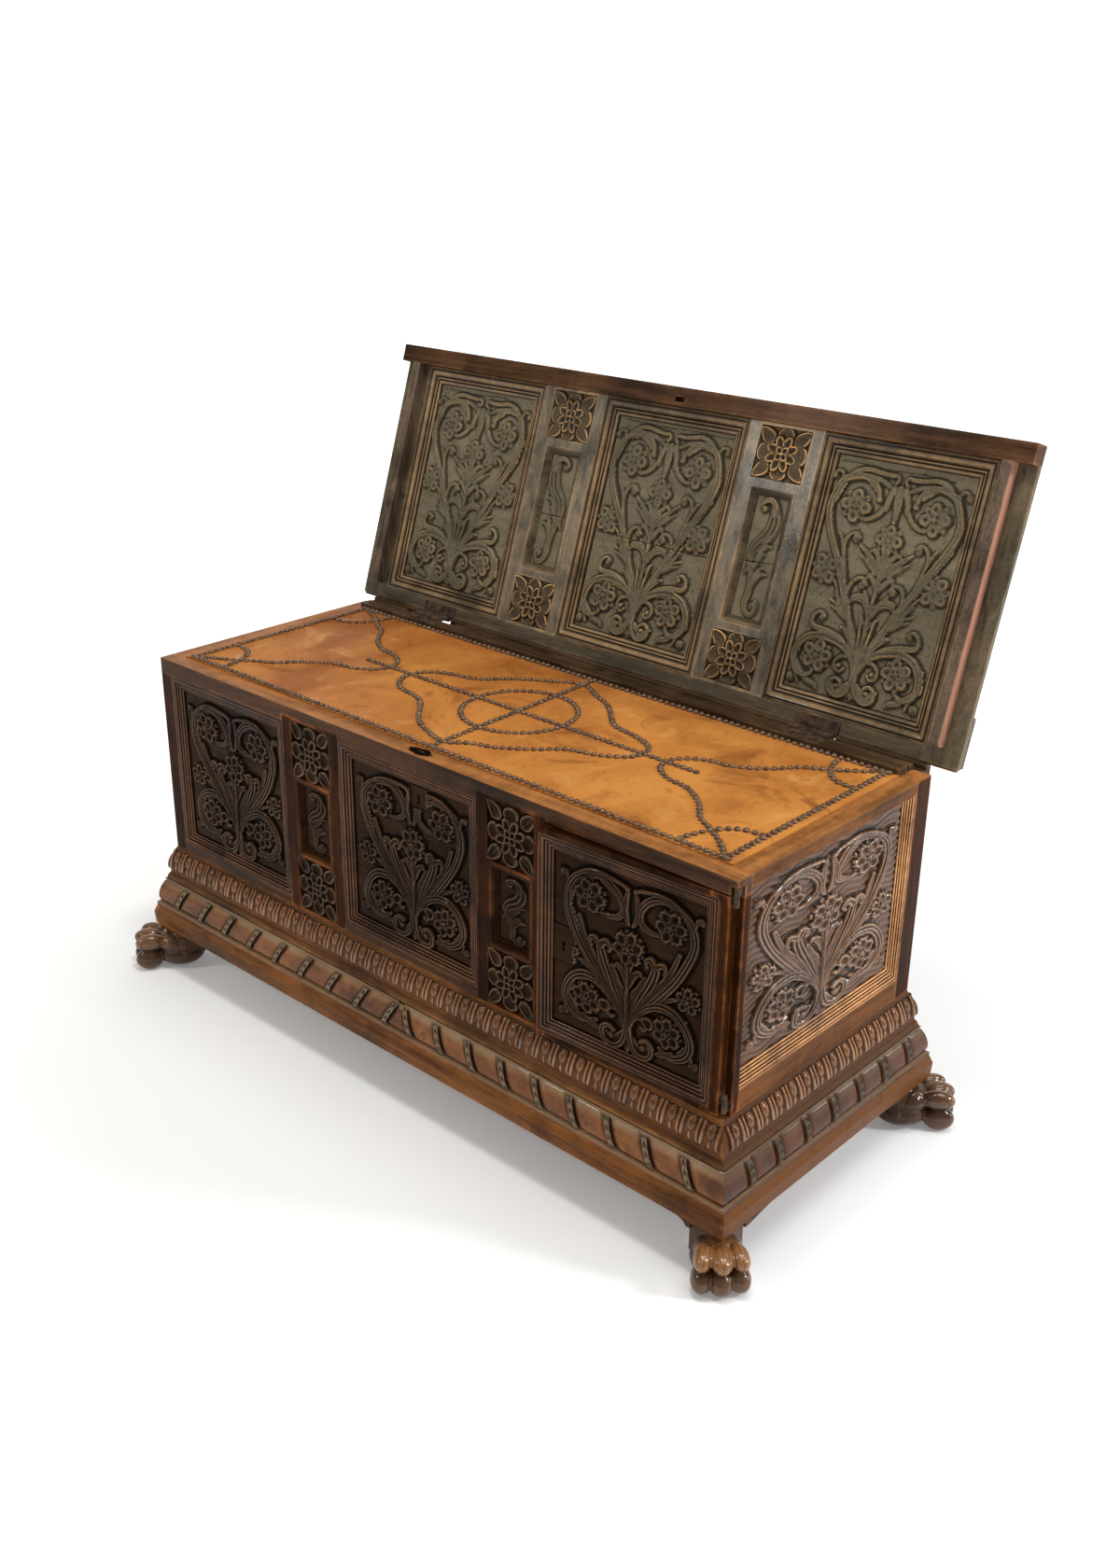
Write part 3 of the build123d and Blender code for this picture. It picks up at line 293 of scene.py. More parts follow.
# The ironwork: two hinges at the back of the lid, eyes and pins on the door, and two locks with their
# bolts. All of it is hand forged, nailed on, and dark with a little rust.
iron = Finish("forged_iron")
rust = iron.noise(iron.place(), 70.0, 5.0, 0.65)
iron_metal = iron.done(
    Base_Color=iron.blend(iron.between(rust, 0.4, 0.62), (0.030, 0.022, 0.016), (0.110, 0.062, 0.034)),
    Metallic=iron.between(rust, 0.4, 0.6, 0.35, 0.05), Roughness=iron.between(rust, 0.3, 0.7, 0.45, 0.75),
    Normal=iron.bump(rust, 0.4, 0.0008))
dress(iron_metal, "lid_hinge_case_leaves", "lid_hinge_pins", "lid_hinge_lid_leaves", "door_hinge_case_eyes",
      "door_hinge_pins", "door_hinge_door_eyes", "lid_lock_case", "lid_lock_bolt", "door_lock_case",
      "door_lock_bolt")

# The lid's underside: three carved panels in a frame, which show when the lid stands open. It has
# never been waxed, so the walnut has dried to a grey-green brown and only the high edges are golden.
half_d = 254.6
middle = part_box("front_top_rail")[0].y * 1000 + half_d
lean = math.radians(17.9)
hinge_y, hinge_z = 263.9, 658.5
lid_along, lid_up = (1, 0, 0), (0, math.sin(lean), math.cos(lean))
lid_out = (0, -math.cos(lean), math.sin(lean))
lid_ground, lid_bay, lid_carving_foot = 25.3, 476.5, 60


def on_lid(x, s, depth):
    """A place on the lid: across, up from the hinge line, and behind it, square to the panels."""
    return (x, middle + hinge_y + depth * math.cos(lean) + s * math.sin(lean),
            hinge_z - depth * math.sin(lean) + s * math.cos(lean))


def set_marks(mesh, marks):
    """Gives each point of a mesh its marks: worn for wear (on the paws, painted light from above) and hollow
    for painted shade and cracks.
    """
    for mark, values in marks.items():
        mesh.attributes.new(mark, "FLOAT", "POINT").data.foreach_set("value", np.array(values, np.float32))


def smooth_line(points, steps, loop=False):
    """A smooth line through the points, with so many steps from each to the next."""
    knots = np.array(points, float)
    knots = np.concatenate([knots[-1:], knots, knots[:2]] if loop else [knots[:1], knots, knots[-1:]])
    line = []
    for a, b, c, d in zip(knots, knots[1:], knots[2:], knots[3:]):
        for t in np.linspace(0, 1, steps + 1)[:-1]:
            line.append(0.5 * (2 * b + (c - a) * t + (2 * a - 5 * b + 4 * c - d) * t * t
                               + (3 * b - a - 3 * c + d) * t ** 3))
    return line if loop else line + [knots[-1]]


def ribbon(across):
    """A stem's cross-section: a flat band with a groove down its middle."""
    return np.clip((1.02 - np.abs(across)) / 0.3, 0, 1) ** 0.7 * (1 - 0.34 * np.exp(-(across / 0.34) ** 2))


def reed(across):
    """A plain round cross-section."""
    return np.sqrt(np.clip(1 - across ** 2, 0, 1))


def leaf(across):
    """A leaf's cross-section: hollow, with a rib, and an edge that stands up."""
    rib = 0.3 * np.exp(-(across / 0.14) ** 2)
    return np.clip((1.04 - np.abs(across)) / 0.24, 0, 1) ** 0.7 * (0.5 + 0.5 * np.abs(across) ** 1.6 + rib)


def fluted(across):
    """An acanthus leaf's cross-section: several flutes side by side."""
    crown = np.clip((1.03 - np.abs(across)) / 0.3, 0, 1) ** 0.7
    return crown * (0.7 + 0.3 * np.cos(3.0 * math.pi * across)) * (1 - 0.25 * across ** 2)


class Relief:
    """Carving, held as heights over a grid. Each cut is laid over those before it. Millimetres."""

    def __init__(self, width, height, step, seed, drift=1.4):
        self.step = step
        self.columns, self.rows = round(width / step) + 1, round(height / step) + 1
        self.left = -width / 2
        self.x, self.y = np.meshgrid(np.linspace(-width / 2, width / 2, self.columns),
                                     np.linspace(0, height, self.rows))
        self.high, self.scar = np.zeros_like(self.x), np.zeros_like(self.x)
        self.wide, self.tall, self.lift = 1.0, 1.0, 0.0
        self.rng = np.random.default_rng(seed)
        swing = self.rng.uniform(0, 2 * math.pi, 6)
        self.u = self.x + drift * (np.sin(self.y / 41 + swing[0]) + np.sin(self.x / 33 + swing[1])
                                   + 0.5 * np.sin(self.y / 17 + swing[2]))
        self.v = self.y + drift * (np.sin(self.x / 37 + swing[3]) + np.sin(self.y / 45 + swing[4])
                                   + 0.5 * np.sin(self.x / 19 + swing[5]))

    def near(self, x0, x1, y0, y1):
        """The cells of a box, with room for the hand's drift and for a pattern that is off centre."""
        room_x, room_y = 20, 6
        c0 = int(((x0 - room_x) * self.wide - self.left) / self.step)
        c1 = int(((x1 + room_x) * self.wide - self.left) / self.step) + 1
        r0 = int(((y0 - room_y) * self.tall + self.lift) / self.step)
        r1 = int(((y1 + room_y) * self.tall + self.lift) / self.step) + 1
        return slice(max(r0, 0), max(r1, 0)), slice(max(c0, 0), max(c1, 0))

    def cut(self, points, widths, top, section=ribbon, sides=(1, -1)):
        """A band along a smooth line through the points, on each side of the middle in turn."""
        steps = 6
        line = smooth_line(points, steps)
        given = np.interp(np.linspace(0, 1, len(points)), np.linspace(0, 1, len(widths)), widths)
        spread = np.interp(np.arange(len(line)) / steps, np.arange(len(points)), given)
        for side in sides:
            where = np.full_like(self.x, 9.0)
            across, along = np.zeros_like(self.x), np.zeros_like(self.x)
            for i in range(len(line) - 1):
                (ax, ay), (bx, by) = line[i], line[i + 1]
                ax, bx = ax * side, bx * side
                reach = max(spread[i], spread[i + 1]) * 1.1
                box = self.near(min(ax, bx) - reach, max(ax, bx) + reach,
                                min(ay, by) - reach, max(ay, by) + reach)
                px, py = self.u[box] - ax, self.v[box] - ay
                dx, dy = bx - ax, by - ay
                t = np.clip((px * dx + py * dy) / max(dx * dx + dy * dy, 1e-9), 0, 1)
                ex, ey = px - t * dx, py - t * dy
                q = np.hypot(ex, ey) / (spread[i] * (1 - t) + spread[i + 1] * t)
                better = q < where[box]
                where[box] = np.where(better, q, where[box])
                across[box] = np.where(better, np.sign(dx * ey - dy * ex) * q, across[box])
                along[box] = np.where(better, (i + t) / (len(line) - 1), along[box])
            lift = np.interp(along, np.linspace(0, 1, len(np.atleast_1d(top))), np.atleast_1d(top))
            made = np.where(where < 1.05, lift * section(across), 0)
            self.high = np.maximum(self.high, made)

    def ball(self, x, y, radius, top, sides=(1, -1)):
        """A round boss with a pip in it."""
        for side in sides:
            far = np.hypot(self.u - x * side, self.v - y) / radius
            self.high = np.maximum(self.high, top * np.sqrt(np.clip(1 - far ** 2, 0, 1)) ** 0.8)

    def flower(self, x, y, radius, petals, turn, top, frill=0.0, sides=(1, -1)):
        """An open flower: hollow petals with raised rims round a button, and small leaves between."""
        for side in sides:
            px, py = (self.u - x * side) * side, self.v - y
            far, angle = np.hypot(px, py) / radius, np.arctan2(py, px)
            between, petal = (0.20, 0.27, 0.74, 0.55, 0.5), (0.36, 0.42, 0.60, 0.92, 0.0)
            for wide, long, reach, lift, shift in (between, petal):
                for k in range(petals):
                    bearing = turn + 2 * math.pi * (k + shift) / petals
                    ax = (far * np.cos(angle - bearing) - reach) / long
                    ay = far * np.sin(angle - bearing) / wide
                    e = np.hypot(ax, ay) * (1 + frill * np.cos(7 * np.arctan2(ay, ax)))
                    hollow = 0.5 + 0.5 * np.clip((e - 0.25) / 0.6, 0, 1)
                    made = top * lift * (np.clip((1.04 - e) / 0.2, 0, 1) ** 0.7 * hollow)
                    over = np.maximum(made, np.where(e < 0.96, made, self.high))
                    self.high = np.where(e < 1.04, over, self.high)
            button = np.clip(1 - (far / 0.2) ** 2, 0, 1)
            self.high = np.where(far < 0.2, top * (0.62 + 0.42 * np.sqrt(button)), self.high)

    def soften(self, times=1):
        for _ in range(times):
            padded = np.pad(self.high, 1, mode="edge")
            rows = (padded[:-2] + 2 * padded[1:-1] + padded[2:]) / 4
            self.high = (rows[:, :-2] + 2 * rows[:, 1:-1] + rows[:, 2:]) / 4

    def tool(self, depth):
        """Small uneven dents all over, as a gouge leaves them."""
        dents = self.rng.normal(0, 1, (self.rows // 2 + 2, self.columns // 2 + 2))
        dents = np.repeat(np.repeat(dents, 2, 0), 2, 1)[:self.rows, :self.columns]
        self.high += depth * (dents + np.roll(dents, 1, 0) + np.roll(dents, 1, 1)) / 2

    def split(self, height, x0, x1):
        """A crack in the board, along its grain."""
        line = height + np.cumsum(self.rng.normal(0, 0.12, self.columns)) + 1.2 * np.sin(self.x[0] / 21)
        cut = (np.abs(self.y - line) < 0.8) & (self.x > x0) & (self.x < x1)
        self.high = np.where(cut, 0.05, self.high)
        self.scar = np.where(cut, 1.0, self.scar)

    def plain_patch(self, x0, x1, y0, y1):
        """A flat field left for a keyhole, with a line cut round it."""
        def within(edge):
            return (self.x > x0 - edge) & (self.x < x1 + edge) & (self.y > y0 - edge) & (self.y < y1 + edge)
        self.high = np.where(within(0), 1.4, np.where(within(2.5), 0.3, self.high))
        self.scar = np.where(within(2.5) & ~within(0), 0.8, self.scar)

    def spread(self, reach):
        """The heights averaged over a square of that reach."""
        n = max(1, round(reach / self.step))
        total = np.cumsum(np.cumsum(np.pad(self.high, ((n + 1, n), (n + 1, n)), mode="edge"), 0), 1)
        k = 2 * n + 1
        return (total[k:, k:] - total[:-k, k:] - total[k:, :-k] + total[:-k, :-k]) / k ** 2

    def cover(self, node, origin, along, upward, out):
        """Raises the carving to just above the main forms of the solid panel under it."""
        solid = nodes[node]
        tree = BVHTree.FromPolygons([solid.matrix_world @ v.co for v in solid.data.vertices],
                                    [tuple(f.vertices) for f in solid.data.polygons])
        down, above, nothing = Vector(-out), 20, -9.0
        x, y = self.x[::2, ::2, None], self.y[::2, ::2, None]
        grid = (origin + x * along + y * upward + above * out) / 1000
        found = [tree.ray_cast(Vector(p), down, 0.021)[3] for p in grid.reshape(-1, 3)]
        level = np.array([nothing if far is None else above - far * 1000 for far in found])
        level = level.reshape(grid.shape[:2])
        level = np.repeat(np.repeat(level, 2, 0), 2, 1)[:self.rows, :self.columns]
        grown = np.pad(level, 1, mode="edge")
        level = np.max([grown[a:a + self.rows, b:b + self.columns] for a in range(3) for b in range(3)], 0)
        self.high = np.where(level > 0.5, np.maximum(self.high, level + 0.35), self.high)

    def piece(self, name, finish, body, origin, along, upward, out, foot=-1.5, over=None):
        """The carving as a closed slab: origin is the middle of its lower edge, in millimetres."""
        origin, along, upward, out = (np.array(v, float) for v in (origin, along, upward, out))
        if over:
            self.cover(over, origin, along, upward, out)
        flat = np.stack([self.x, self.y, self.high], -1).reshape(-1, 3)
        last = self.columns - 1
        ring = np.concatenate([np.arange(self.columns), np.arange(1, self.rows) * self.columns + last,
                               np.arange(last - 1, -1, -1) + (self.rows - 1) * self.columns,
                               np.arange(self.rows - 2, 0, -1) * self.columns])
        under = flat[ring].copy()
        under[:, 2] = foot
        place = np.concatenate([flat, under])
        points = (origin + place[:, :1] * along + place[:, 1:2] * upward + place[:, 2:] * out) / 1000
        index = np.arange(self.rows * self.columns).reshape(self.rows, self.columns)
        quads = np.stack([index[:-1, :-1], index[:-1, 1:], index[1:, 1:], index[1:, :-1]], -1).reshape(-1, 4)
        n, base = len(ring), len(flat)
        k = np.arange(n)
        walls = np.stack([ring, base + k, base + (k + 1) % n, np.roll(ring, -1)], -1)
        faces = quads.tolist() + walls.tolist() + [list(range(base + n - 1, base - 1, -1))]
        mesh = bpy.data.meshes.new(name)
        mesh.from_pydata(points.tolist(), [], faces)
        mesh.polygons.foreach_set("use_smooth", [True] * len(quads) + [False] * (n + 1))
        worn = np.clip((self.high - self.spread(3.0)) / 1.3, 0, 1)
        # The hollow mark is painted shade: the ground is darkened where it lies below the carving round it.
        # Cracks and cut lines are added to it.
        hollow = np.maximum(np.clip((self.spread(4.5) - self.high) / 1.7, 0, 1), self.scar)
        below = np.zeros(n)
        set_marks(mesh, {"worn": np.append(worn, below), "hollow": np.append(hollow, below)})
        mesh.materials.append(finish)
        made = link(name, mesh)
        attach(made, body)
        return made


def heart_and_flowers(work):
    """The tall pattern: a root with volutes, flowers in scrolls, and two stems that meet in a heart."""
    cut, ball, flower = work.cut, work.ball, work.flower
    cut([(2, 50), (12, 80), (27, 115), (42, 145), (57, 170), (67, 190), (82, 220), (97, 245), (110, 270),
         (119, 295), (119, 320), (107, 350), (92, 361), (72, 366), (52, 362), (40, 350), (35, 338)],
        [4, 5, 6.5, 6.5, 6.5, 5.5, 4], [6, 7, 8, 8, 7])
    ball(35, 335, 6, 8)
    cut([(100, 357), (84, 372), (64, 378), (42, 376), (22, 375), (11, 376), (7, 370), (11, 364)],
        [5, 4, 3, 2.5], 7)
    cut([(60, 369), (40, 365), (25, 359), (13, 353)], [4, 4.5, 1], 6, leaf)
    cut([(110, 330), (107, 352), (111, 365), (120, 366), (126, 360)], [2.5, 3, 3, 2.5], 6)
    ball(125, 359, 6, 7)
    cut([(25, 320), (31, 311), (43, 302), (57, 298), (70, 302)], [4.5, 4, 2], 6.5)
    cut([(0, 355), (0, 335), (0, 306)], [7, 8.5, 4], 7, leaf, (1,))
    cut([(11, 355), (18, 336), (21, 322), (29, 318)], [6, 5.5, 5, 1], 6.5, leaf)
    ball(0, 303, 5, 7, (1,))
    flower(74, 317, 28, 4, 0.06, 9)
    flower(0, 272, 26, 4, 0.0, 8.5, sides=(1,))
    cut([(10, 85), (22, 110), (38, 135), (50, 158)], [3, 5.5, 5.5, 3], 7, leaf)
    cut([(40, 150), (58, 180), (70, 210), (77, 235), (79, 253), (73, 267), (62, 273), (54, 267)],
        [3, 3.5, 3.5, 3, 3], 6.5)
    ball(60, 264, 7, 8)
    cut([(77, 235), (84, 255), (92, 268)], [3, 4, 1], 6, leaf)
    cut([(50, 158), (53, 177), (48, 193), (38, 201), (28, 200), (23, 193)], [4, 3.5, 3.5, 3], 6.5)
    ball(30, 191, 7, 8)
    cut([(0, 40), (0, 120), (0, 200), (0, 255)], [6, 4.5, 3.5, 2.5], [7, 8, 7], reed, (1,))
    cut([(0, 118), (8, 133), (17, 143)], [2, 4, 1], 6.5, leaf)
    cut([(0, 135), (8, 158), (22, 170), (37, 168), (42, 158)], [3, 8, 8, 1], 7, fluted)
    cut([(2, 145), (14, 168), (24, 184)], [2, 5, 1], 6.5, leaf)
    cut([(0, 182), (8, 198), (20, 209), (27, 200)], [2.5, 5.5, 5, 1], 7, leaf)
    cut([(0, 203), (12, 224), (30, 240), (53, 257)], [3, 7, 6, 1], 7.5, fluted)
    cut([(12, 212), (30, 228), (48, 240)], [2, 4.5, 1], 6, leaf)
    cut([(0, 212), (8, 234), (20, 250), (31, 247)], [2.5, 5, 5, 1], 7, leaf)
    cut([(0, 228), (0, 252)], [7, 8], 7.5, leaf, (1,))
    flower(103, 203, 27, 4, math.pi / 4 + 0.12, 8.5)
    cut([(60, 150), (73, 178), (88, 194)], [3.5, 3, 2], 6)
    for x, y, rise in ((75, 148, 0), (81, 158, 9), (76, 173, 20)):
        cut([(28 + rise, 122 + rise), (50 + rise * 0.5, 137 + rise), (x, y)], [2, 4.5, 1], 6.5, leaf)
    cut([(4, 58), (20, 93), (35, 113), (49, 117)], [3, 5.5, 6.5, 1], 7, fluted)
    cut([(14, 78), (40, 98), (70, 106), (92, 107), (101, 114), (99, 126), (89, 133), (80, 128)],
        [3, 4, 5, 5, 3.5, 3, 3], 7)
    ball(84, 125, 5.5, 7.5)
    cut([(4, 50), (14, 73), (32, 88), (55, 95), (80, 96), (103, 87), (117, 67), (119, 47), (111, 31),
         (97, 25), (84, 30), (79, 38)], [4, 6.5, 7, 7, 6, 4.5, 3], [6, 7.5, 8, 7, 6])
    cut([(117, 45), (110, 27), (104, 10)], [4, 4, 2], 6.5)
    ball(119, 15, 8.5, 8)
    cut([(104, 30), (90, 20), (74, 14), (68, 9)], [4, 6.5, 5, 3], 7, fluted)
    flower(77, 63, 28, 5, 0.5, 9)
    cut([(4, 45), (6, 63), (16, 73), (30, 73), (41, 63), (40, 51), (30, 47), (24, 53)],
        [3.5, 3.5, 3.2, 2.5], 7)
    ball(33, 56, 5, 8)
    cut([(3, 45), (4, 30), (12, 15), (27, 7), (42, 13), (44, 27), (34, 35), (24, 31), (22, 23)],
        [5, 5, 4.5, 3.5, 3], 8)
    ball(30, 23, 5.5, 8)
    cut([(0, 36), (0, 20), (0, 8)], [3, 6.5, 3], 7, leaf, (1,))
    cut([(2, 30), (8, 18), (7, 9)], [2, 4, 2], 6, leaf)
    cut([(1, 42), (5, 75), (9, 110), (14, 140)], [4, 4, 3.5, 1.5], 7.5, reed)


def dry_walnut(name, ground, pale, gold, shade, rough=0.55):
    """Dried, greyed walnut, golden where an edge is rubbed, and darkened in its hollows with painted shade."""
    wood = Finish(name)
    place = wood.place()
    figure = wood.noise(wood.stretched(place, (1.0, 10.0, 10.0)), 4.0, 6.0, 0.65, 0.5)
    patch = wood.noise(place, 6.0, 5.0, 0.6, 0.5)
    nick = wood.noise(place, 60.0, 3.0, 0.7)
    colour = wood.blend(wood.between(figure * 0.5 + patch * 0.5, 0.36, 0.64), ground, pale)
    hollow, worn = wood.mark("hollow"), wood.mark("worn")
    colour = wood.blend(wood.between(worn, 0.04, 0.3) * 0.7, colour, tuple(c * 0.55 for c in ground))
    # Painted shade: the hollows are darkened towards the shade colour.
    colour = wood.blend(wood.between(hollow, 0.06, 0.75) * 0.88, colour, shade)
    rubbed = wood.between(worn + (nick - 0.5) * 0.7, 0.42, 1.0)
    colour = wood.blend(rubbed * wood.between(patch, 0.36, 0.6, 0.25, 1.0), colour, gold)
    dents = wood.bump(figure * 0.4 + nick * 0.6, 0.5, 0.0014)
    return wood.done(Base_Color=colour, Roughness=wood.between(patch, 0.3, 0.7, rough - 0.1, rough + 0.1),
                     Normal=dents, Coat_Weight=rubbed * 0.25, Coat_Roughness=0.25)


lid_front = walnut("lid_front_rail_walnut", (0.026, 0.011, 0.004), (0.115, 0.050, 0.020), (0.34, 0.18, 0.07),
                   gloss=0.42, shine=0.08)
lid_frame_x = walnut("lid_frame_walnut", (0.036, 0.026, 0.015), (0.135, 0.102, 0.060), (0.40, 0.25, 0.12),
                     gloss=0.42, shine=0.15)
lid_frame_z = walnut("lid_end_walnut", (0.052, 0.041, 0.024), (0.175, 0.135, 0.080), (0.40, 0.26, 0.13), "Z",
                     gloss=0.4, shine=0.15)
lid_muntin = walnut("lid_muntin_walnut", (0.045, 0.037, 0.022), (0.240, 0.186, 0.110), (0.60, 0.39, 0.17), "Z",
                    wear=0.95, gloss=0.24, shine=0.5)
lid_red = walnut("lid_cleat_walnut", (0.050, 0.032, 0.021), (0.190, 0.132, 0.090), (0.40, 0.30, 0.21), "Z",
                 gloss=0.4, painted_side_light=(0.48, 0.23, 0.155))
dress(lid_front, "lid_front_rail")
dress(lid_frame_x, "lid_rear_rail", "lid_narrow_panels", "lid_rear_batten")
dress(lid_frame_z, "lid_end_stiles", "lid_rosettes", "lid_panels")
dress(lid_muntin, "lid_muntins")
dress(lid_red, "lid_cleats")
dress(plain, "lid_top_board")
lid_panel_finish = dry_walnut("lid_panel_walnut", (0.110, 0.092, 0.052), (0.225, 0.188, 0.118),
                              (0.420, 0.270, 0.120), (0.014, 0.010, 0.006))
for number, x in enumerate((-lid_bay, 0.0, lid_bay)):
    work = Relief(262, 396, 1.25, 11 + number)
    heart_and_flowers(work)
    work.high += 0.35 + 0.25 * np.sin(work.x / 9 + np.sin(work.y / 23) * 2) * np.sin(work.y / 14)
    work.soften()
    work.tool(0.16)
    if number == 1:
        work.split(178, -131, 131)
    work.split((385, 388, 384)[number], -120, (60, 130, 90)[number])
    work.piece(f"lid_carving_{number + 1}", lid_panel_finish, "lid", on_lid(x, lid_carving_foot, lid_ground),
               lid_along, lid_up, lid_out, over="lid_panels")

# Narrow panels and rosettes of the lid: an S-shaped frond between two square roses on each muntin. The
# roses are blocks of their own, glued into the muntin, and their rims are rubbed golden.


def petals(work, x, y, count, turn, reach, long, wide, top, point=0.0):
    """A ring of hollow petals with raised rims, laid over what is already there."""
    far, angle = np.hypot(work.u - x, work.v - y), np.arctan2(work.v - y, work.u - x)
    for k in range(count):
        bearing = turn + 2 * math.pi * k / count
        ax = (far * np.cos(angle - bearing) - reach) / long
        ay = far * np.sin(angle - bearing) / (wide * (1 - point * np.clip(ax, -1, 1)))
        e = np.hypot(ax, ay)
        rib = 0.22 * np.exp(-(ay / 0.12) ** 2) if point else 0
        hollow = 0.45 + 0.55 * np.clip((e - 0.3) / 0.5, 0, 1) + rib
        bowl = np.clip((1.05 - e) / 0.16, 0, 1) ** 0.7 * hollow
        rim = np.maximum(work.high, np.where(e < 1.05, top * bowl, 0))
        work.high = np.where(e < 0.97, top * bowl, rim)


def rose(work, x, y, tall, top):
    """A square rose: corner leaves, lobes between them, eight petals and a four-lobed eye."""
    corner_x, corner_y = 36, tall * 0.5 - 15
    corner = math.atan2(corner_y, corner_x)
    for bearing in (corner, math.pi - corner, math.pi + corner, -corner):
        petals(work, x, y, 1, bearing, math.hypot(corner_x, corner_y), 20, 12.5, top * 0.62, 0.35)
    petals(work, x, y, 2, 0, 37, 14, 17, top * 0.6)
    petals(work, x, y, 2, math.pi / 2, tall * 0.36, 14, 17, top * 0.6)
    petals(work, x, y, 8, math.pi / 8, 20, 13.5, 8.6, top * 0.86)
    petals(work, x, y, 4, math.pi / 4, 7.5, 8, 6.2, top * 0.92)
    work.ball(x, y, 4.5, top, (1,))


def frond(work, side, tall, low):
    """A standing S of leaves in a narrow panel, with a curl at each end."""
    def along(*points):
        return [(x * side, low + y * tall) for x, y in points]
    work.cut(along((14, 0.87), (13, 0.94), (4, 0.985), (-8, 0.975), (-15, 0.93), (-9, 0.89)),
             [7, 6, 4, 2.5], 7, ribbon, (1,))
    work.ball(-9 * side, low + 0.905 * tall, 6, 7.5, (1,))
    work.cut(along((12, 0.93), (16, 0.8), (8, 0.68), (-10, 0.58), (-17, 0.47), (-8, 0.33), (-4, 0.2),
                   (-5, 0.1), (2, 0.03), (14, 0.02), (20, 0.08), (15, 0.13)),
             [9, 14, 14, 12, 8, 7, 7, 7, 6, 5, 4, 3], 6.5, fluted, (1,))
    work.ball(12 * side, low + 0.085 * tall, 7.5, 7.5, (1,))
    for foot, middle, tip in (((4, 0.62), (14, 0.66), (24, 0.74)), ((-6, 0.47), (8, 0.58), (22, 0.6)),
                              ((-8, 0.36), (2, 0.49), (12, 0.53)), ((-4, 0.2), (8, 0.34), (24, 0.36)),
                              ((-4, 0.22), (4, 0.37), (14, 0.41)), ((-10, 0.4), (-18, 0.38), (-25, 0.33))):
        work.cut(along(foot, middle, tip), [3, 5, 1], 6, leaf, (1,))


muntin_x = 240
frond_foot, frond_ground = 150.5, 23.3
rose_wide, rose_tall, rose_ground = 104, 90, 18.2
lid_rose_finish = dry_walnut("lid_rose_walnut", (0.060, 0.042, 0.022), (0.120, 0.085, 0.046),
                             (0.700, 0.400, 0.150), (0.008, 0.005, 0.002))
for side in (-1, 1):
    work = Relief(63, 212, 1.25, 21 + side)
    frond(work, side, 205, 4)
    work.high += 0.3
    work.soften()
    work.split(98, -31, 31)
    tag = "left" if side < 0 else "right"
    work.piece(f"lid_frond_{tag}", lid_panel_finish, "lid", on_lid(side * muntin_x, frond_foot, frond_ground),
               lid_along, lid_up, lid_out)
    for s, level in ((78, "low"), (435, "high")):
        work = Relief(rose_wide, rose_tall, 1.1, 31 + side + s, 0.8)
        rose(work, 0, rose_tall / 2, rose_tall, 9)
        work.high += 0.2
        work.soften()
        made = work.piece(f"lid_rose_{tag}_{level}", lid_rose_finish, "lid",
                          on_lid(side * muntin_x, s - rose_tall / 2, rose_ground), lid_along, lid_up, lid_out)
        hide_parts("lid_rosettes")

# The carved panels of the case: two in the front, one in the door and one in each side. The pattern
# is the lid's, drawn broader for their squarer shape, with heavier stems, and waxed nearly black.


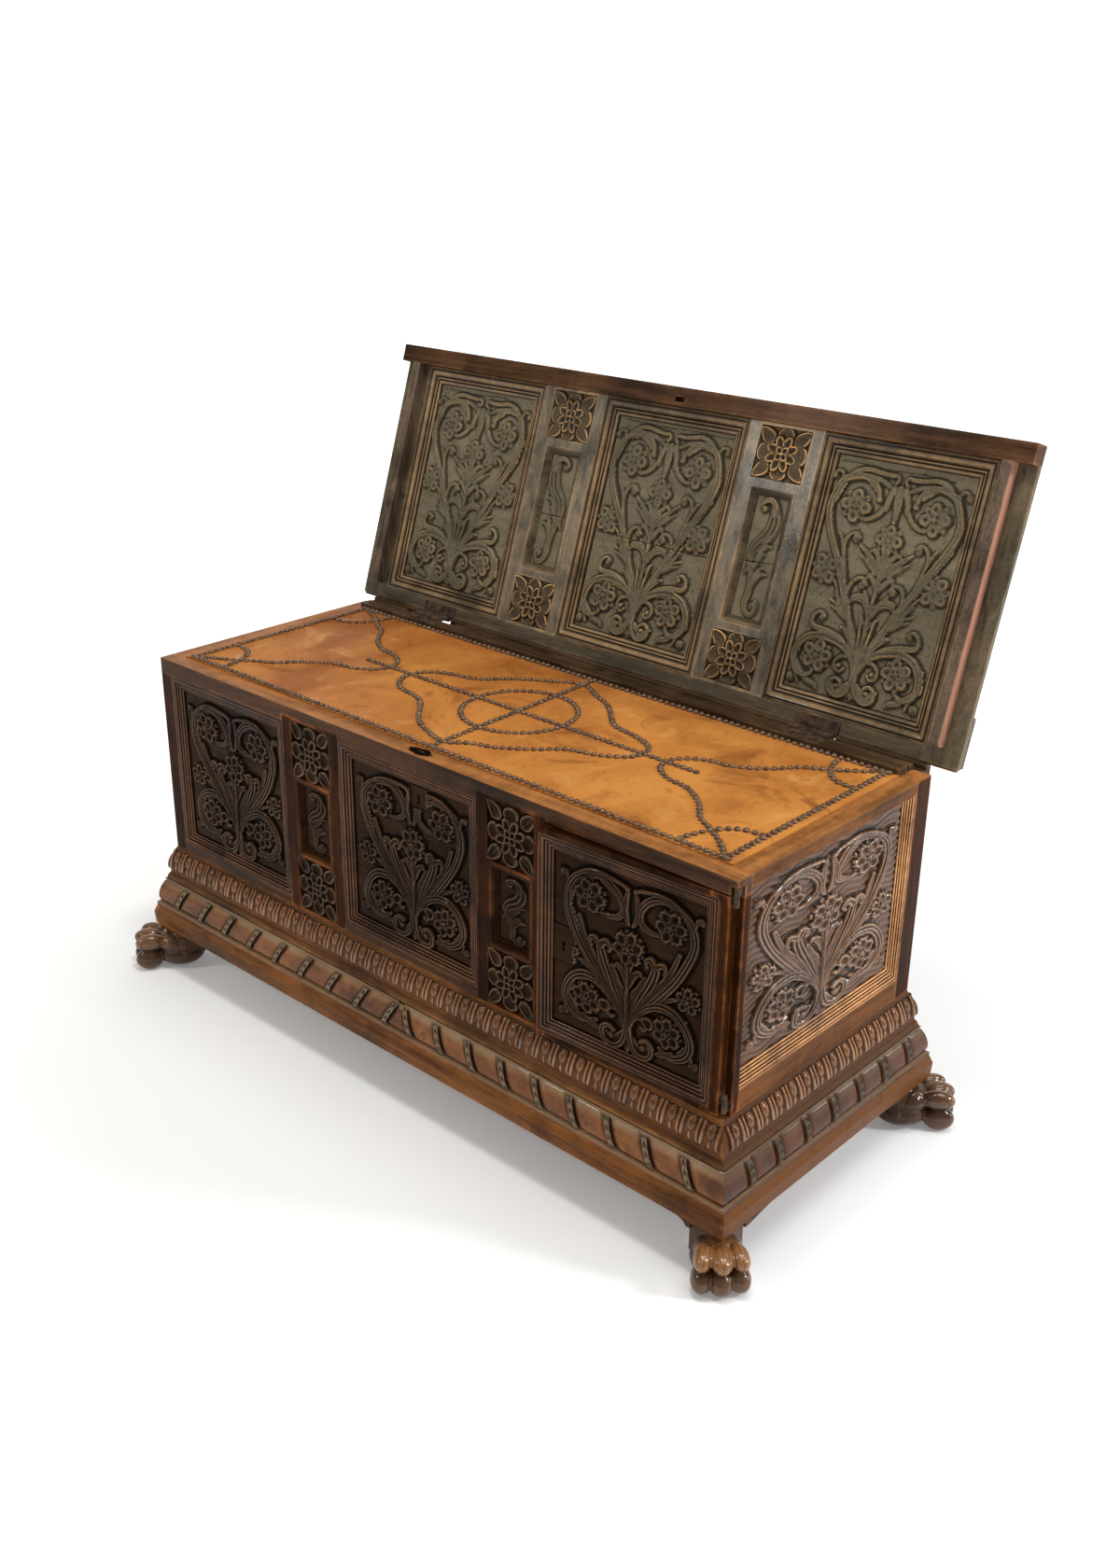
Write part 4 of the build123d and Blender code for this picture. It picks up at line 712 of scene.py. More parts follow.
def broad_pattern(work):
    """The same root, scrolls, flowers and heart in a square panel."""
    cut, ball, flower = work.cut, work.ball, work.flower
    cut([(2, 45), (12, 65), (30, 85), (52, 110), (75, 137), (95, 165), (110, 195), (117, 220), (114, 245),
         (102, 264), (84, 275), (60, 279), (38, 273), (22, 258), (15, 242), (21, 227), (37, 219), (54, 219)],
        [4, 7, 8.5, 9, 8, 7, 8.5, 7, 4], [7, 9, 9, 8, 8], fluted)
    cut([(100, 267), (80, 281), (58, 285), (35, 284), (15, 281), (8, 277)], [4, 4.5, 3.5, 3], 8)
    ball(8, 278, 5, 8)
    cut([(7, 274), (12, 252), (10, 232), (4, 218)], [3, 6, 5, 3], 8, leaf)
    cut([(20, 262), (17, 240), (20, 222)], [2, 5, 2], 7, leaf)
    cut([(110, 235), (117, 258), (121, 268), (129, 262)], [3, 3.5, 3, 3], 7)
    ball(126, 266, 7, 8)
    cut([(0, 50), (25, 92), (52, 128), (78, 163), (93, 200)], [4, 7, 6.5, 5.5, 4], 8, leaf)
    cut([(2, 60), (24, 102), (42, 135), (50, 155), (52, 168)], [4, 8, 11, 10, 9], 8, fluted)
    cut([(50, 168), (42, 176), (33, 170), (36, 162)], [8, 6, 4, 3], 8.5)
    cut([(54, 168), (66, 174), (72, 166), (68, 160)], [7, 5, 4, 3], 8)
    cut([(0, 60), (10, 95), (22, 125), (31, 142)], [3, 6, 5, 3], 8, leaf)
    cut([(0, 38), (0, 100), (0, 150)], [7, 5, 3.5], [8, 9, 8], reed, (1,))
    cut([(2, 95), (12, 112), (18, 122)], [2, 5, 3], 8, leaf)
    cut([(0, 112), (10, 138), (20, 146), (27, 141)], [3, 6, 5, 1], 8, leaf)
    cut([(0, 130), (0, 152), (0, 160)], [4, 8, 3], 8.5, leaf, (1,))
    flower(0, 181, 29, 6, 0.25, 10, 0.1, (1,))
    flower(75, 241, 29, 6, 0.1, 10, 0.1)
    flower(112, 133, 22, 5, 0.3, 9, 0.1)
    cut([(45, 96), (70, 118), (90, 127)], [5, 5, 3], 7.5, leaf)
    cut([(40, 100), (62, 126), (80, 142), (90, 150)], [4, 5, 4, 1], 7, leaf)
    cut([(4, 55), (20, 78), (42, 97), (66, 106), (91, 102), (110, 84), (118, 60), (111, 40), (93, 28),
         (74, 27), (60, 34)], [4, 8, 9.5, 9, 8.5, 9, 8, 4], [7, 9, 9, 9, 8], fluted)
    cut([(84, 32), (66, 25), (54, 21)], [5, 6.5, 3], 8, leaf)
    flower(76, 66, 27, 6, 0.4, 10, 0.1)
    petals(work, 43, 69, 1, 2.6, 3, 13, 10, 9, 0.3)
    petals(work, -43, 69, 1, 0.5, 3, 13, 10, 9, 0.3)
    cut([(4, 48), (12, 68), (26, 73), (37, 64), (32, 55), (26, 58)], [4, 4.5, 4, 3], 8)
    cut([(3, 50), (5, 32), (13, 14), (28, 6), (44, 12), (47, 28), (37, 37), (26, 33)], [5, 6, 5.5, 4], 9)
    ball(30, 22, 7, 9)
    cut([(0, 34), (0, 18), (0, 5)], [3, 6, 3], 8, leaf, (1,))
    cut([(114, 50), (119, 34), (116, 24)], [4, 4, 2], 7)
    ball(126, 27, 8, 8)


def waxed_walnut(name, deep, warm, worn, shade, rough=0.3, shine=0.06, coat=0.5):
    """Waxed carving: darkened nearly black in its hollows with painted shade, brown and shining where it
    stands up.
    """
    wood = Finish(name)
    place = wood.place()
    figure = wood.noise(wood.stretched(place, (1.0, 1.0, 8.0)), 14.0, 5.0, 0.65, 0.4)
    patch = wood.noise(place, 7.0, 5.0, 0.6, 0.5)
    nick = wood.noise(place, 90.0, 3.0, 0.7)
    hollow, ridge = wood.mark("hollow"), wood.mark("worn")
    colour = wood.blend(wood.between(figure * 0.4 + patch * 0.6, 0.38, 0.62), deep, warm)
    # Painted shade: the hollows are darkened nearly to black.
    colour = wood.blend(wood.between(hollow, 0.02, 0.7) * 0.92, colour, shade)
    # The worn mark is wear on the carvings; on the paws it is painted light from above.
    rubbed = wood.between(ridge + (nick - 0.5) * 0.6, 0.3, 0.95)
    colour = wood.blend(rubbed * wood.between(patch, 0.34, 0.6, 0.2, 0.95), colour, worn)
    rough_map = wood.between(nick * 0.4 + patch * 0.6 + hollow * 0.3, 0.3, 0.75, rough - 0.1, rough + 0.16)
    dents = wood.bump(figure * 0.4 + nick * 0.6, 0.3, 0.0009)
    return wood.done(Base_Color=colour, Roughness=rough_map, Normal=dents, Coat_Weight=ridge * coat,
                     Coat_Roughness=0.12, Specular_IOR_Level=shine)


front_along, front_up, front_out = (1, 0, 0), (0, 0, 1), (0, -1, 0)
front_ground, front_carving_foot = -242.6, 300
front_finish = waxed_walnut("front_panel_walnut", (0.012, 0.005, 0.002), (0.040, 0.017, 0.005),
                            (0.130, 0.062, 0.022), (0.002, 0.001, 0.0004), 0.26, 0.03, 0.6)


def at_front(x, z, y):
    """A place on the front: across, up, and along Y from the middle of the case."""
    return (x, middle + y, z)


for tag, x, shift, wide in (("left", -478, 6, 278), ("centre", 0, 8, 282)):
    work = Relief(wide, 296, 1.25, 41 + wide)
    work.u -= shift
    broad_pattern(work)
    work.high += 0.3 + 0.2 * np.sin(work.x / 7) * np.sin(work.y / 11)
    work.soften()
    work.tool(0.1)
    if tag == "centre":
        work.plain_patch(4, 42, 254, 290)
    work.piece(f"front_carving_{tag}", front_finish, "case", at_front(x, front_carving_foot, front_ground),
               front_along, front_up, front_out, over=f"front_{tag}_panel")

# The door's panel is carved in walnut to match, with a plain field for its keyhole. The door hangs a
# little ajar on its pins, so its pieces are laid out shut and turned about them.
ajar = math.radians(2.5)
pin_x, pin_y = 664.5, -247.6
door_middle, door_carving_foot = 476.5, 294


def on_door(x, z, y):
    """A place laid out on the shut door, turned with it about the hinge pins."""
    px, py = x - pin_x, y - pin_y
    return (pin_x + px * math.cos(ajar) - py * math.sin(ajar),
            middle + pin_y + px * math.sin(ajar) + py * math.cos(ajar), z)


door_along, door_out = (math.cos(ajar), math.sin(ajar), 0), (math.sin(ajar), -math.cos(ajar), 0)
work = Relief(281, 296, 1.25, 47)
work.u -= 6
broad_pattern(work)
work.high += 0.3
work.soften()
work.plain_patch(-145, -101, 110, 170)
work.piece("door_carving", front_finish, "door", on_door(door_middle, door_carving_foot, front_ground),
           door_along, front_up, door_out, over="door_panel")

# Two keyholes, for the lid's lock and the door's, sit in the plain fields. Each is a thin near-black slab on
# the field, painted shade for the hole: a round over a slot that widens downwards, and no plate covers it.


def skin(rings, size, closed=False):
    """The faces between rings of points, and over both ends unless the row of rings is closed."""
    faces = [(i * size + j, i * size + (j + 1) % size,
              (i + 1) % rings * size + (j + 1) % size, (i + 1) % rings * size + j)
             for i in range(rings if closed else rings - 1) for j in range(size)]
    return faces if closed else faces + [tuple(range(size)), tuple(range((rings - 1) * size, rings * size))]


def build(name, points, faces, finish, body, *replaced, sharp=None, marks={}):
    """Makes a piece from points in millimetres, smooth up to the angle sharp, and rides it on a body."""
    mesh = bpy.data.meshes.new(name)
    mesh.from_pydata((np.array(points, float) / 1000).tolist(), [], faces)
    shape = bmesh.new()
    shape.from_mesh(mesh)
    bmesh.ops.recalc_face_normals(shape, faces=shape.faces)
    shape.to_mesh(mesh)
    shape.free()
    if sharp:
        mesh.polygons.foreach_set("use_smooth", [True] * len(mesh.polygons))
        mesh.set_sharp_from_angle(angle=math.radians(sharp))
    set_marks(mesh, marks)
    mesh.materials.append(finish)
    made = link(name, mesh)
    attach(made, body)
    for node in replaced:
        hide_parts(node)


dark_hole = Finish("keyhole_dark")
shade = dark_hole.noise(dark_hole.place(), 90.0)
painted_hole_shade = dark_hole.done(Base_Color=dark_hole.blend(shade, (0.002, 0.0015, 0.001), (0.008, 0.005, 0.003)),
                            Roughness=0.9, Specular_IOR_Level=0.02)
round_radius = 3.6
outline = [(round_radius * math.cos(a), round_radius * math.sin(a))
           for a in np.linspace(math.radians(-60), math.radians(240), 17)]
outline += [(-1.7, -4.5), (-3.0, -12.5), (3.0, -12.5), (1.7, -4.5)]
for name, body, place, x, z in (("lid_keyhole", "case", at_front, 22, 572),
                                ("door_keyhole", "door", on_door, 356, 435)):
    points = [place(x + a * grow, z + b * grow, front_ground - high)
              for grow, high in ((1.0, -0.5), (1.0, 1.62), (0.9, 1.72)) for a, b in outline]
    build(name, points, skin(3, len(outline)), painted_hole_shade, body)

# The sides are carved in walnut panels of their own, on a ground that is tooled all over in waves. The
# pattern is drawn broader again, and waxed lighter than the front.
side_ground, side_low = 662, 295
side_finish = waxed_walnut("side_panel_walnut", (0.045, 0.018, 0.006), (0.150, 0.060, 0.020),
                           (0.340, 0.200, 0.110), (0.005, 0.002, 0.001), 0.14, 0.16, 1.0)
for tag, side in (("right", 1), ("left", -1)):
    work = Relief(437, 334, 1.5, 53 + side)
    work.wide, work.tall, work.lift = 1.42, 0.97, 38
    work.u, work.v = (work.u + 14 * side) / work.wide, (work.v - work.lift) / work.tall
    broad_pattern(work)
    waves = np.sin(work.y / 1.9 + 2.2 * np.sin(work.x / 13 + 1.3 * np.sin(work.y / 31)))
    work.high = np.where(work.high > 0.6, work.high, 0.9 + 0.75 * waves)
    work.soften()
    work.piece(f"side_carving_{tag}", side_finish, "case", (side * side_ground, middle - 2.8, side_low),
               (0, side, 0), front_up, (side, 0, 0), over=f"{tag}_side_panel")

# Every carved panel is held by a mitred moulding of three to five reeds that step down to its ground.
# The lengths were planed in walnut and nailed in. Their ridges are rubbed pale, and the grooves between are
# darkened with painted shade.


def reeded(name, finish, body, place, outer, inner, depth, reeds, replaced, seed, closed=True):
    """A reeded moulding between two outlines. place gives the point that is across, up and proud."""
    rng = np.random.default_rng(seed)
    section = [(0, 0.96, 0.4, 0), (0.02, 1, 0.6, 0), (0.13, 1, 0.6, 0), (0.15, 0.93, 0, 1)]
    edges = 0.15 + 0.85 * np.array([0, *np.cumsum(reeds)]) / sum(reeds)
    for a, b in zip(edges, edges[1:]):
        for t in (0.08, 0.22, 0.4, 0.6, 0.78, 0.92, 1.0):
            share = a + (b - a) * t
            fall = 0.93 - 0.80 * ((share - 0.15) / 0.85)
            swell = 0.15 * math.sin(math.pi * t) ** 0.6 if t < 1 else 0
            # Painted shade in the grooves between the reeds and at the moulding's edges.
            painted_shade = 1.0 if t > 0.95 or t < 0.1 else 0.55 * (t > 0.9)
            section.append((share, fall + swell, math.sin(math.pi * t) ** 2, painted_shade))
    section += [(1, -0.05, 0, 1), (0, -0.05, 0, 1)]
    outer, inner = np.array(outer, float), np.array(inner, float)
    legs = len(outer) if closed else len(outer) - 1
    points, worn, hollow = [], [], []
    for leg in range(legs):
        a, b = leg, (leg + 1) % len(outer)
        steps = np.linspace(0, 1, max(4, round(np.linalg.norm(outer[b] - outer[a]) / 14)) + 1)
        for t in steps if leg == legs - 1 and not closed else steps[:-1]:
            shake, wear = rng.normal(0, 0.004), rng.uniform(0.85, 1)
            for share, high, ridge, groove in section:
                start = outer[a] + (inner[a] - outer[a]) * share
                end = outer[b] + (inner[b] - outer[b]) * share
                across, upward = start + (end - start) * t
                points.append(place(across, upward, depth * high * (1 + shake * (0 < t < 1))))
                worn.append(ridge * wear)
                hollow.append(groove)
    build(name, points, skin(len(points) // len(section), len(section), closed), finish, body, replaced,
          sharp=50, marks={"worn": worn, "hollow": hollow})


def frame_of(x0, x1, z0, z1, wide):
    """The outer and inner outline of a moulding round a rectangle."""
    return ([(x0, z0), (x1, z0), (x1, z1), (x0, z1)],
            [(x0 + wide, z0 + wide), (x1 - wide, z0 + wide), (x1 - wide, z1 - wide), (x0 + wide, z1 - wide)])


front_reeds = waxed_walnut("front_moulding_walnut", (0.012, 0.004, 0.001), (0.042, 0.014, 0.003),
                           (0.180, 0.068, 0.020), (0.002, 0.001, 0.0003), 0.28, 0.03, 0.6)
side_reeds = waxed_walnut("side_moulding_walnut", (0.060, 0.021, 0.006), (0.180, 0.066, 0.018),
                          (0.900, 0.430, 0.155), (0.003, 0.001, 0.0004), 0.3, 0.04, 0.3)
lid_reeds = waxed_walnut("lid_moulding_walnut", (0.030, 0.021, 0.011), (0.120, 0.084, 0.044),
                         (0.400, 0.250, 0.115), (0.008, 0.005, 0.003), 0.36, 0.15, 0.3)
front_low, front_high, door_drop, front_wide, lid_wide, proud = 276, 620, 6, 25, 32, 12
front_widths, lid_widths, side_widths = (5, 3, 4, 3), (8, 3, 5), (4, 3, 4, 3, 4)
for tag, x0, x1 in (("left", -641, -315), ("centre", -165, 165)):
    reeded(f"front_reeds_{tag}", front_reeds, "case", lambda a, b, h: at_front(a, b, front_ground - h),
           *frame_of(x0, x1, front_low, front_high, front_wide), proud, front_widths,
           f"front_{tag}_moulding", 700 + x1)
reeded("door_reeds", front_reeds, "door", lambda a, b, h: on_door(a, b, front_ground - h),
       *frame_of(312, 641, front_low - door_drop, front_high - door_drop, front_wide), proud, front_widths,
       "door_moulding", 5)
for number, (x0, x1) in enumerate(((-637, -316), (-164, 164), (316, 637))):
    reeded(f"lid_reeds_{number + 1}", lid_reeds, "lid", lambda a, b, h: on_lid(a, b, lid_ground - h),
           *frame_of(x0, x1, 28, 485, lid_wide), proud, lid_widths, "lid_mouldings", 9 + number)
side_front, side_back, side_high, wide = -220.6, 215, 628, 34
for tag, side in (("right", 1), ("left", -1)):
    reeded(f"side_reeds_{tag}", side_reeds, "case",
           lambda a, b, h: (side * (side_ground + h), middle + a, b),
           [(side_front, side_low), (side_back, side_low), (side_back, side_high)],
           [(side_front, side_low + wide), (side_back - wide, side_low + wide), (side_back - wide, side_high)],
           8, side_widths, f"{tag}_side_moulding", 15 + side, closed=False)

# Roses and narrow fronds of the two front muntins, waxed like the panels. The fronds are cut in thin
# boards let into the muntins, and the roses in blocks glued on above and below them.
frond_foot, frond_ground = 385, -244.6
rose_wide, rose_tall, rose_ground = 100, 106, -249.7
for side in (-1, 1):
    tag = "left" if side < 0 else "right"
    work = Relief(63, 118, 1.25, 61 + side)
    frond(work, 1, 112, 3)
    work.high = work.high * 0.9 + 0.3
    work.soften()
    work.piece(f"front_frond_{tag}", front_finish, "case", at_front(side * muntin_x, frond_foot, frond_ground),
               front_along, front_up, front_out)
    for z, level in ((314, "low"), (574, "high")):
        work = Relief(rose_wide, rose_tall, 1.1, 71 + side + z, 0.8)
        rose(work, 0, rose_tall / 2, rose_tall, 9)
        work.high += 0.2
        work.soften()
        made = work.piece(f"front_rose_{tag}_{level}", front_finish, "case",
                          at_front(side * muntin_x, z - rose_tall / 2, rose_ground),
                          front_along, front_up, front_out)
        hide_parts("front_rosettes")

# The plinth's upper course: upright tongues cut in the solid walnut of the boards, all the way round
# under the case. The boards are mitred at the corners, glued and nailed.
# The ovolo behind and below the tongues takes a darker copy of the plinth walnut: painted shade.
plinth_dark = walnut("walnut_plinth_top", (0.040, 0.015, 0.004), (0.190, 0.072, 0.019), (0.40, 0.185, 0.060),
                     wear=0.8, shine=0.08, painted_side_light=(0.085, 0.032, 0.010))
dress(plinth_dark, "plinth_ovolo")


class Plan:
    """A Geometry Nodes tree being laid out, with a named input for each of its sizes."""

    def __init__(self, name, sizes):
        self.tree = bpy.data.node_groups.new(name, "GeometryNodeTree")
        for way in ("INPUT", "OUTPUT"):
            self.tree.interface.new_socket("Geometry", in_out=way, socket_type="NodeSocketGeometry")
        for label, kind in sizes.items():
            self.tree.interface.new_socket(label, in_out="INPUT", socket_type="NodeSocket" + kind)
        self.given = self.tree.nodes.new("NodeGroupInput").outputs

    def node(self, kind, settings={}, inputs={}, output=0):
        return add_node(self.tree, kind, settings, inputs).outputs[output]

    def finish(self, instances, finish):
        """Makes the copies real, gives them their finish and closes the tree."""
        real = self.node("GeometryNodeRealizeInstances", {}, {"Geometry": instances})
        done = self.node("GeometryNodeSetMaterial", {}, {"Geometry": real, "Material": finish})
        self.tree.links.new(done, self.tree.nodes.new("NodeGroupOutput").inputs[0])

    def grow(self, piece, body, **values):
        """Runs the tree on a piece and leaves the result as its plain mesh."""
        modifier = piece.modifiers.new("grow", "NODES")
        modifier.node_group = self.tree
        for item in self.tree.interface.items_tree:
            label = item.name.replace(" ", "_").lower()
            if item.in_out == "INPUT" and label in values:
                modifier[item.identifier] = values[label]
        bpy.context.view_layer.update()
        grown = bpy.data.meshes.new_from_object(piece.evaluated_get(bpy.context.evaluated_depsgraph_get()))
        piece.modifiers.clear()
        piece.data = grown
        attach(piece, body)


plinth_finish = waxed_walnut("plinth_carving_walnut", (0.060, 0.020, 0.005), (0.210, 0.070, 0.018),
                             (0.420, 0.215, 0.095), (0.003, 0.0015, 0.0005), 0.18, 0.2, 1.0)
row_plan = Plan("copies_in_a_row", {"Count": "Int", "Start": "Vector", "Step": "Vector", "Turn": "Float"})
points = row_plan.node("GeometryNodeMeshLine", {"mode": "OFFSET"}, {
    "Count": row_plan.given["Count"], "Start Location": row_plan.given["Start"],
    "Offset": row_plan.given["Step"]})
facing = row_plan.node("ShaderNodeCombineXYZ", {}, {"Z": row_plan.given["Turn"]})
row_plan.finish(row_plan.node("GeometryNodeInstanceOnPoints", {}, {
    "Points": points, "Instance": row_plan.given["Geometry"], "Rotation": facing}), plinth_finish)

# The heights of the course and how far it stands out from the case at each.
ovolo = [(190, 19), (199, 16), (206, 12.5), (212.8, 16), (222, 15.6), (232.8, 13.1), (241, 9.2), (248, 4.8),
         (259, 0)]
tongues_low = 211


def pattern_mesh(work, name, foot=-1.2):
    """A carved pattern bent to the ovolo, square to it at each height."""
    heights, outs = zip(*ovolo)
    made = work.piece(name, plinth_finish, "case", (0, 0, 0), (1, 0, 0), (0, 0, 1), (0, -1, 0), foot)
    flat = np.array([v.co for v in made.data.vertices])[:, [0, 2]] * 1000
    height = np.append(work.high, np.full(len(flat) - work.x.size, foot))
    z = tongues_low + flat[:, 1]
    out = np.interp(z, heights, outs)
    slope = np.interp(z + 0.5, heights, outs) - np.interp(z - 0.5, heights, outs)
    size = np.sqrt(1 + slope ** 2)
    points = np.stack([flat[:, 0], -(out + height / size), z - height * slope / size], -1) / 1000
    made.data.vertices.foreach_set("co", points.reshape(-1).astype(np.float32))
    made.data.update()
    return made


half_w, tongue_wide = 670.0, 36.4
work = Relief(tongue_wide, 40, 1.52, 81, 0.0)
work.high -= 0.4
lobe = np.hypot(work.u / 8.2, (work.v - 29) / 11.5)
work.high = np.maximum(work.high, 5.2 * np.sqrt(np.clip(1 - lobe ** 2, 0, 1)))
drop = np.hypot(work.u / 3.2, (work.v - 11) / 9)
work.high = np.maximum(work.high, 2.6 * np.sqrt(np.clip(1 - drop ** 2, 0, 1)))
from_edge = tongue_wide / 2 - np.abs(work.u)
flute = np.hypot(from_edge / 7.4, np.where(work.v < 14, (work.v - 14) / 12, 0))
swell = (4.4 + 1.8 * np.clip((34 - work.v) / 24, 0, 1)) * np.sqrt(np.clip(1 - flute ** 2, 0, 1))
work.high = np.maximum(work.high, swell * (1 - 0.6 * np.exp(-(from_edge / 2.2) ** 2)))
for side, turn in (("front", 0.0), ("right", math.pi / 2), ("back", math.pi), ("left", -math.pi / 2)):
    count, across, spread = (37, half_d, 36.55) if side in ("front", "back") else (14, half_w, 36.7)
    way, out = Vector((math.cos(turn), math.sin(turn), 0)), Vector((math.sin(turn), -math.cos(turn), 0))
    first = Vector((0, middle / 1000, 0)) + out * across / 1000 + way * (-spread * (count - 1) / 2) / 1000
    row_plan.grow(pattern_mesh(work, f"tongues_{side}"), "case", count=count, start=tuple(first),
                  step=tuple(way * spread / 1000), turn=turn)

# The belly moulding of the plinth, planed all round and mitred. Leaf straps are cut over it, leaning
# outwards on the long sides, and leave polished blocks between them. A flat fillet ends it below.
plinth_board = walnut("walnut_plinth", (0.068, 0.023, 0.005), (0.275, 0.097, 0.021), (0.44, 0.195, 0.056),
                      wear=0.8, shine=0.08, painted_side_light=(0.150, 0.054, 0.014))
dress(plinth_board, "plinth_torus", "plinth_base")
knees = np.array([
    (190.0, 19.4), (188.6, 21.6), (187.2, 21.6), (186.0, 20.2), (184.6, 20.4), (182.4, 22.6), (179.0, 24.6),
    (175.4, 26.3), (171.6, 28.0), (167.8, 29.4), (163.8, 30.6), (159.8, 31.6), (155.8, 32.3), (151.8, 32.7),
    (147.8, 32.7), (144.6, 32.2), (142.2, 31.2), (140.6, 30.4), (139.2, 30.6), (138.0, 32.6), (137.4, 35.0),
    (136.4, 35.9), (133.6, 36.0), (130.6, 36.0), (130.0, 35.6)])
belly = np.empty((2 * len(knees) - 1, 2))
belly[::2], belly[1::2] = knees, (knees[:-1] + knees[1:]) / 2
heading = np.gradient(belly, axis=0)
heading /= np.linalg.norm(heading, axis=1)[:, None]
run = np.concatenate([[0], np.cumsum(np.linalg.norm(np.diff(belly, axis=0), axis=1))])
fall = np.clip((185 - belly[:, 0]) / 45, 0, 1)
fade = np.clip((184.5 - belly[:, 0]) / 4, 0, 1) * np.clip((belly[:, 0] - 140.5) / 3, 0, 1)
strap_half, plain_off = 7.6, 99.0
columns = []


def belt_column(base, out, off, seed):
    """One upright line of the moulding at off millimetres from a strap's middle, with wear and painted shade.
    """
    column, away = [], abs(off)
    for k, (z, depth) in enumerate(belly):
        edge = np.clip((strap_half - away) / 1.1, 0, 1)
        leafy = 0.5 + 0.5 * math.cos(2 * math.pi * ((run[k] + seed) / 13.0 - away / 11.0))
        strap = edge * (1.3 + 1.5 * np.exp(-((away - 5.9) / 1.1) ** 2) + 1.5 * leafy * (away < 5))
        bank = (1 - np.clip((away - 9) / 9, 0, 1)) * (away > 8)
        moat = -1.9 * np.exp(-((away - 9.0) / 1.2) ** 2) - bank
        high = (strap if away < strap_half else moat) * fade[k]
        nz, no = -heading[k][1], heading[k][0]
        if no > 0:
            nz, no = -nz, -no
        painted_shade = 1 - edge + 0.7 * (1 - leafy) * (away < 5)
        if away > strap_half:
            painted_shade = min(1, -min(0, moat) / 1.6)
        reach = depth - no * high
        column.append((base[0][k] + out[0] * reach, base[1][k] + out[1] * reach, z - nz * high,
                       min(1, max(0, strap / 3.5)) * fade[k], painted_shade * fade[k]))
    return column


def belt_side(turn, half, across, straps):
    """The columns of one side: straps are places along it at the top and at the foot."""
    way, out = (math.cos(turn), math.sin(turn)), (math.sin(turn), -math.cos(turn))
    right_offs = (1.4, 2.8, 4.2, 5.4, 6.4, 7.2, 7.8, 8.4, 9.4, 10.6, 13, 18)
    rails = [(-half - belly[:, 1], plain_off, 0.0)]
    for number, (top, foot) in enumerate(straps):
        line = top + (foot - top) * fall
        for off in (*(-off for off in right_offs[::-1]), 0, *right_offs):
            rails.append((line + off * (0.8 if abs(off) < 12 else 1), off, number * 4.1))
    rails.append((half + belly[:, 1], plain_off, 0.0))
    for (line, off, seed), following in zip(rails, rails[1:]):
        on_strap = abs(off) < 17 and abs(following[1]) < 19 and off < following[1]
        for t in [0] if on_strap else [0, 0.25, 0.5, 0.75]:
            along = line * (1 - t) + following[0] * t
            base = [way[axis] * along + out[axis] * across + (0, middle)[axis] for axis in (0, 1)]
            columns.append(belt_column(base, out, off if t == 0 else plain_off, seed))


long_straps = [(sign * (10 + 76 * i), sign * (36 + 76 * i))
               for sign, order in ((-1, range(8, -1, -1)), (1, range(9))) for i in order]
short_straps = [(y, y + 1) for y in (-217, -145, -70, 5, 80, 152, 227)]
for turn in (0.0, math.pi):
    belt_side(turn, half_w, half_d, long_straps)
    belt_side(turn + math.pi / 2, half_d, half_w, short_straps)
for column in columns:
    ends = (column[-1], column[0])
    column += [(x * 0.985, middle + (y - middle) * 0.975, z, 0, 0) for x, y, z, _, _ in ends]
values = np.array(columns).reshape(-1, 5)

belt = Finish("belly_moulding_walnut")
place = belt.place()
figure = belt.noise(place, 16.0, 6.0, 0.7, 0.8)
patch = belt.noise(place, 5.0, 5.0, 0.6, 0.6)
nick = belt.noise(place, 80.0, 4.0, 0.7)
strap, hollow, height = belt.mark("worn"), belt.mark("hollow"), belt.part(place, "Z")
painted_shade_brown = (0.012, 0.006, 0.003)
tone = belt.between(figure * 0.5 + patch * 0.5, 0.38, 0.62)
colour = belt.blend(tone, (0.085, 0.028, 0.007), (0.310, 0.108, 0.026))
colour = belt.blend(belt.between(nick, 0.52, 0.68, 0.0, 0.6), colour, (0.032, 0.012, 0.004))
# Painted highlight: the belly's upper band, which faces up, is paler where light from above would fall on it.
pale = belt.between(height + (figure - 0.5) * 0.008, 0.170, 0.180)
colour = belt.blend(pale * belt.between(patch, 0.35, 0.6, 0.35, 0.85), colour, (0.330, 0.225, 0.130))
fillet = belt.between(height, 0.1335, 0.1365) * belt.between(height, 0.1400, 0.1385)
colour = belt.blend(fillet, colour, belt.blend(figure, (0.120, 0.066, 0.030), (0.340, 0.200, 0.095)))
leaf_colour = belt.blend(belt.between(strap, 0.4, 0.9), (0.070, 0.042, 0.022), (0.340, 0.235, 0.140))
colour = belt.blend(belt.between(strap, 0.15, 0.4), colour, leaf_colour)
# Painted shade: the moats beside the straps and the hollows between their leaves are darkened.
colour = belt.blend(hollow * 0.92, colour, painted_shade_brown)
# Painted shade in the groove at the foot of the belly.
groove = belt.between(height, 0.1425, 0.1410) * belt.between(height, 0.1385, 0.1395)
colour = belt.blend(groove * 0.9, colour, (0.010, 0.005, 0.002))
# Painted shade in the groove under the tongues, at the belly's top.
colour = belt.blend(belt.between(height, 0.1885, 0.1895) * 0.9, colour, painted_shade_brown)
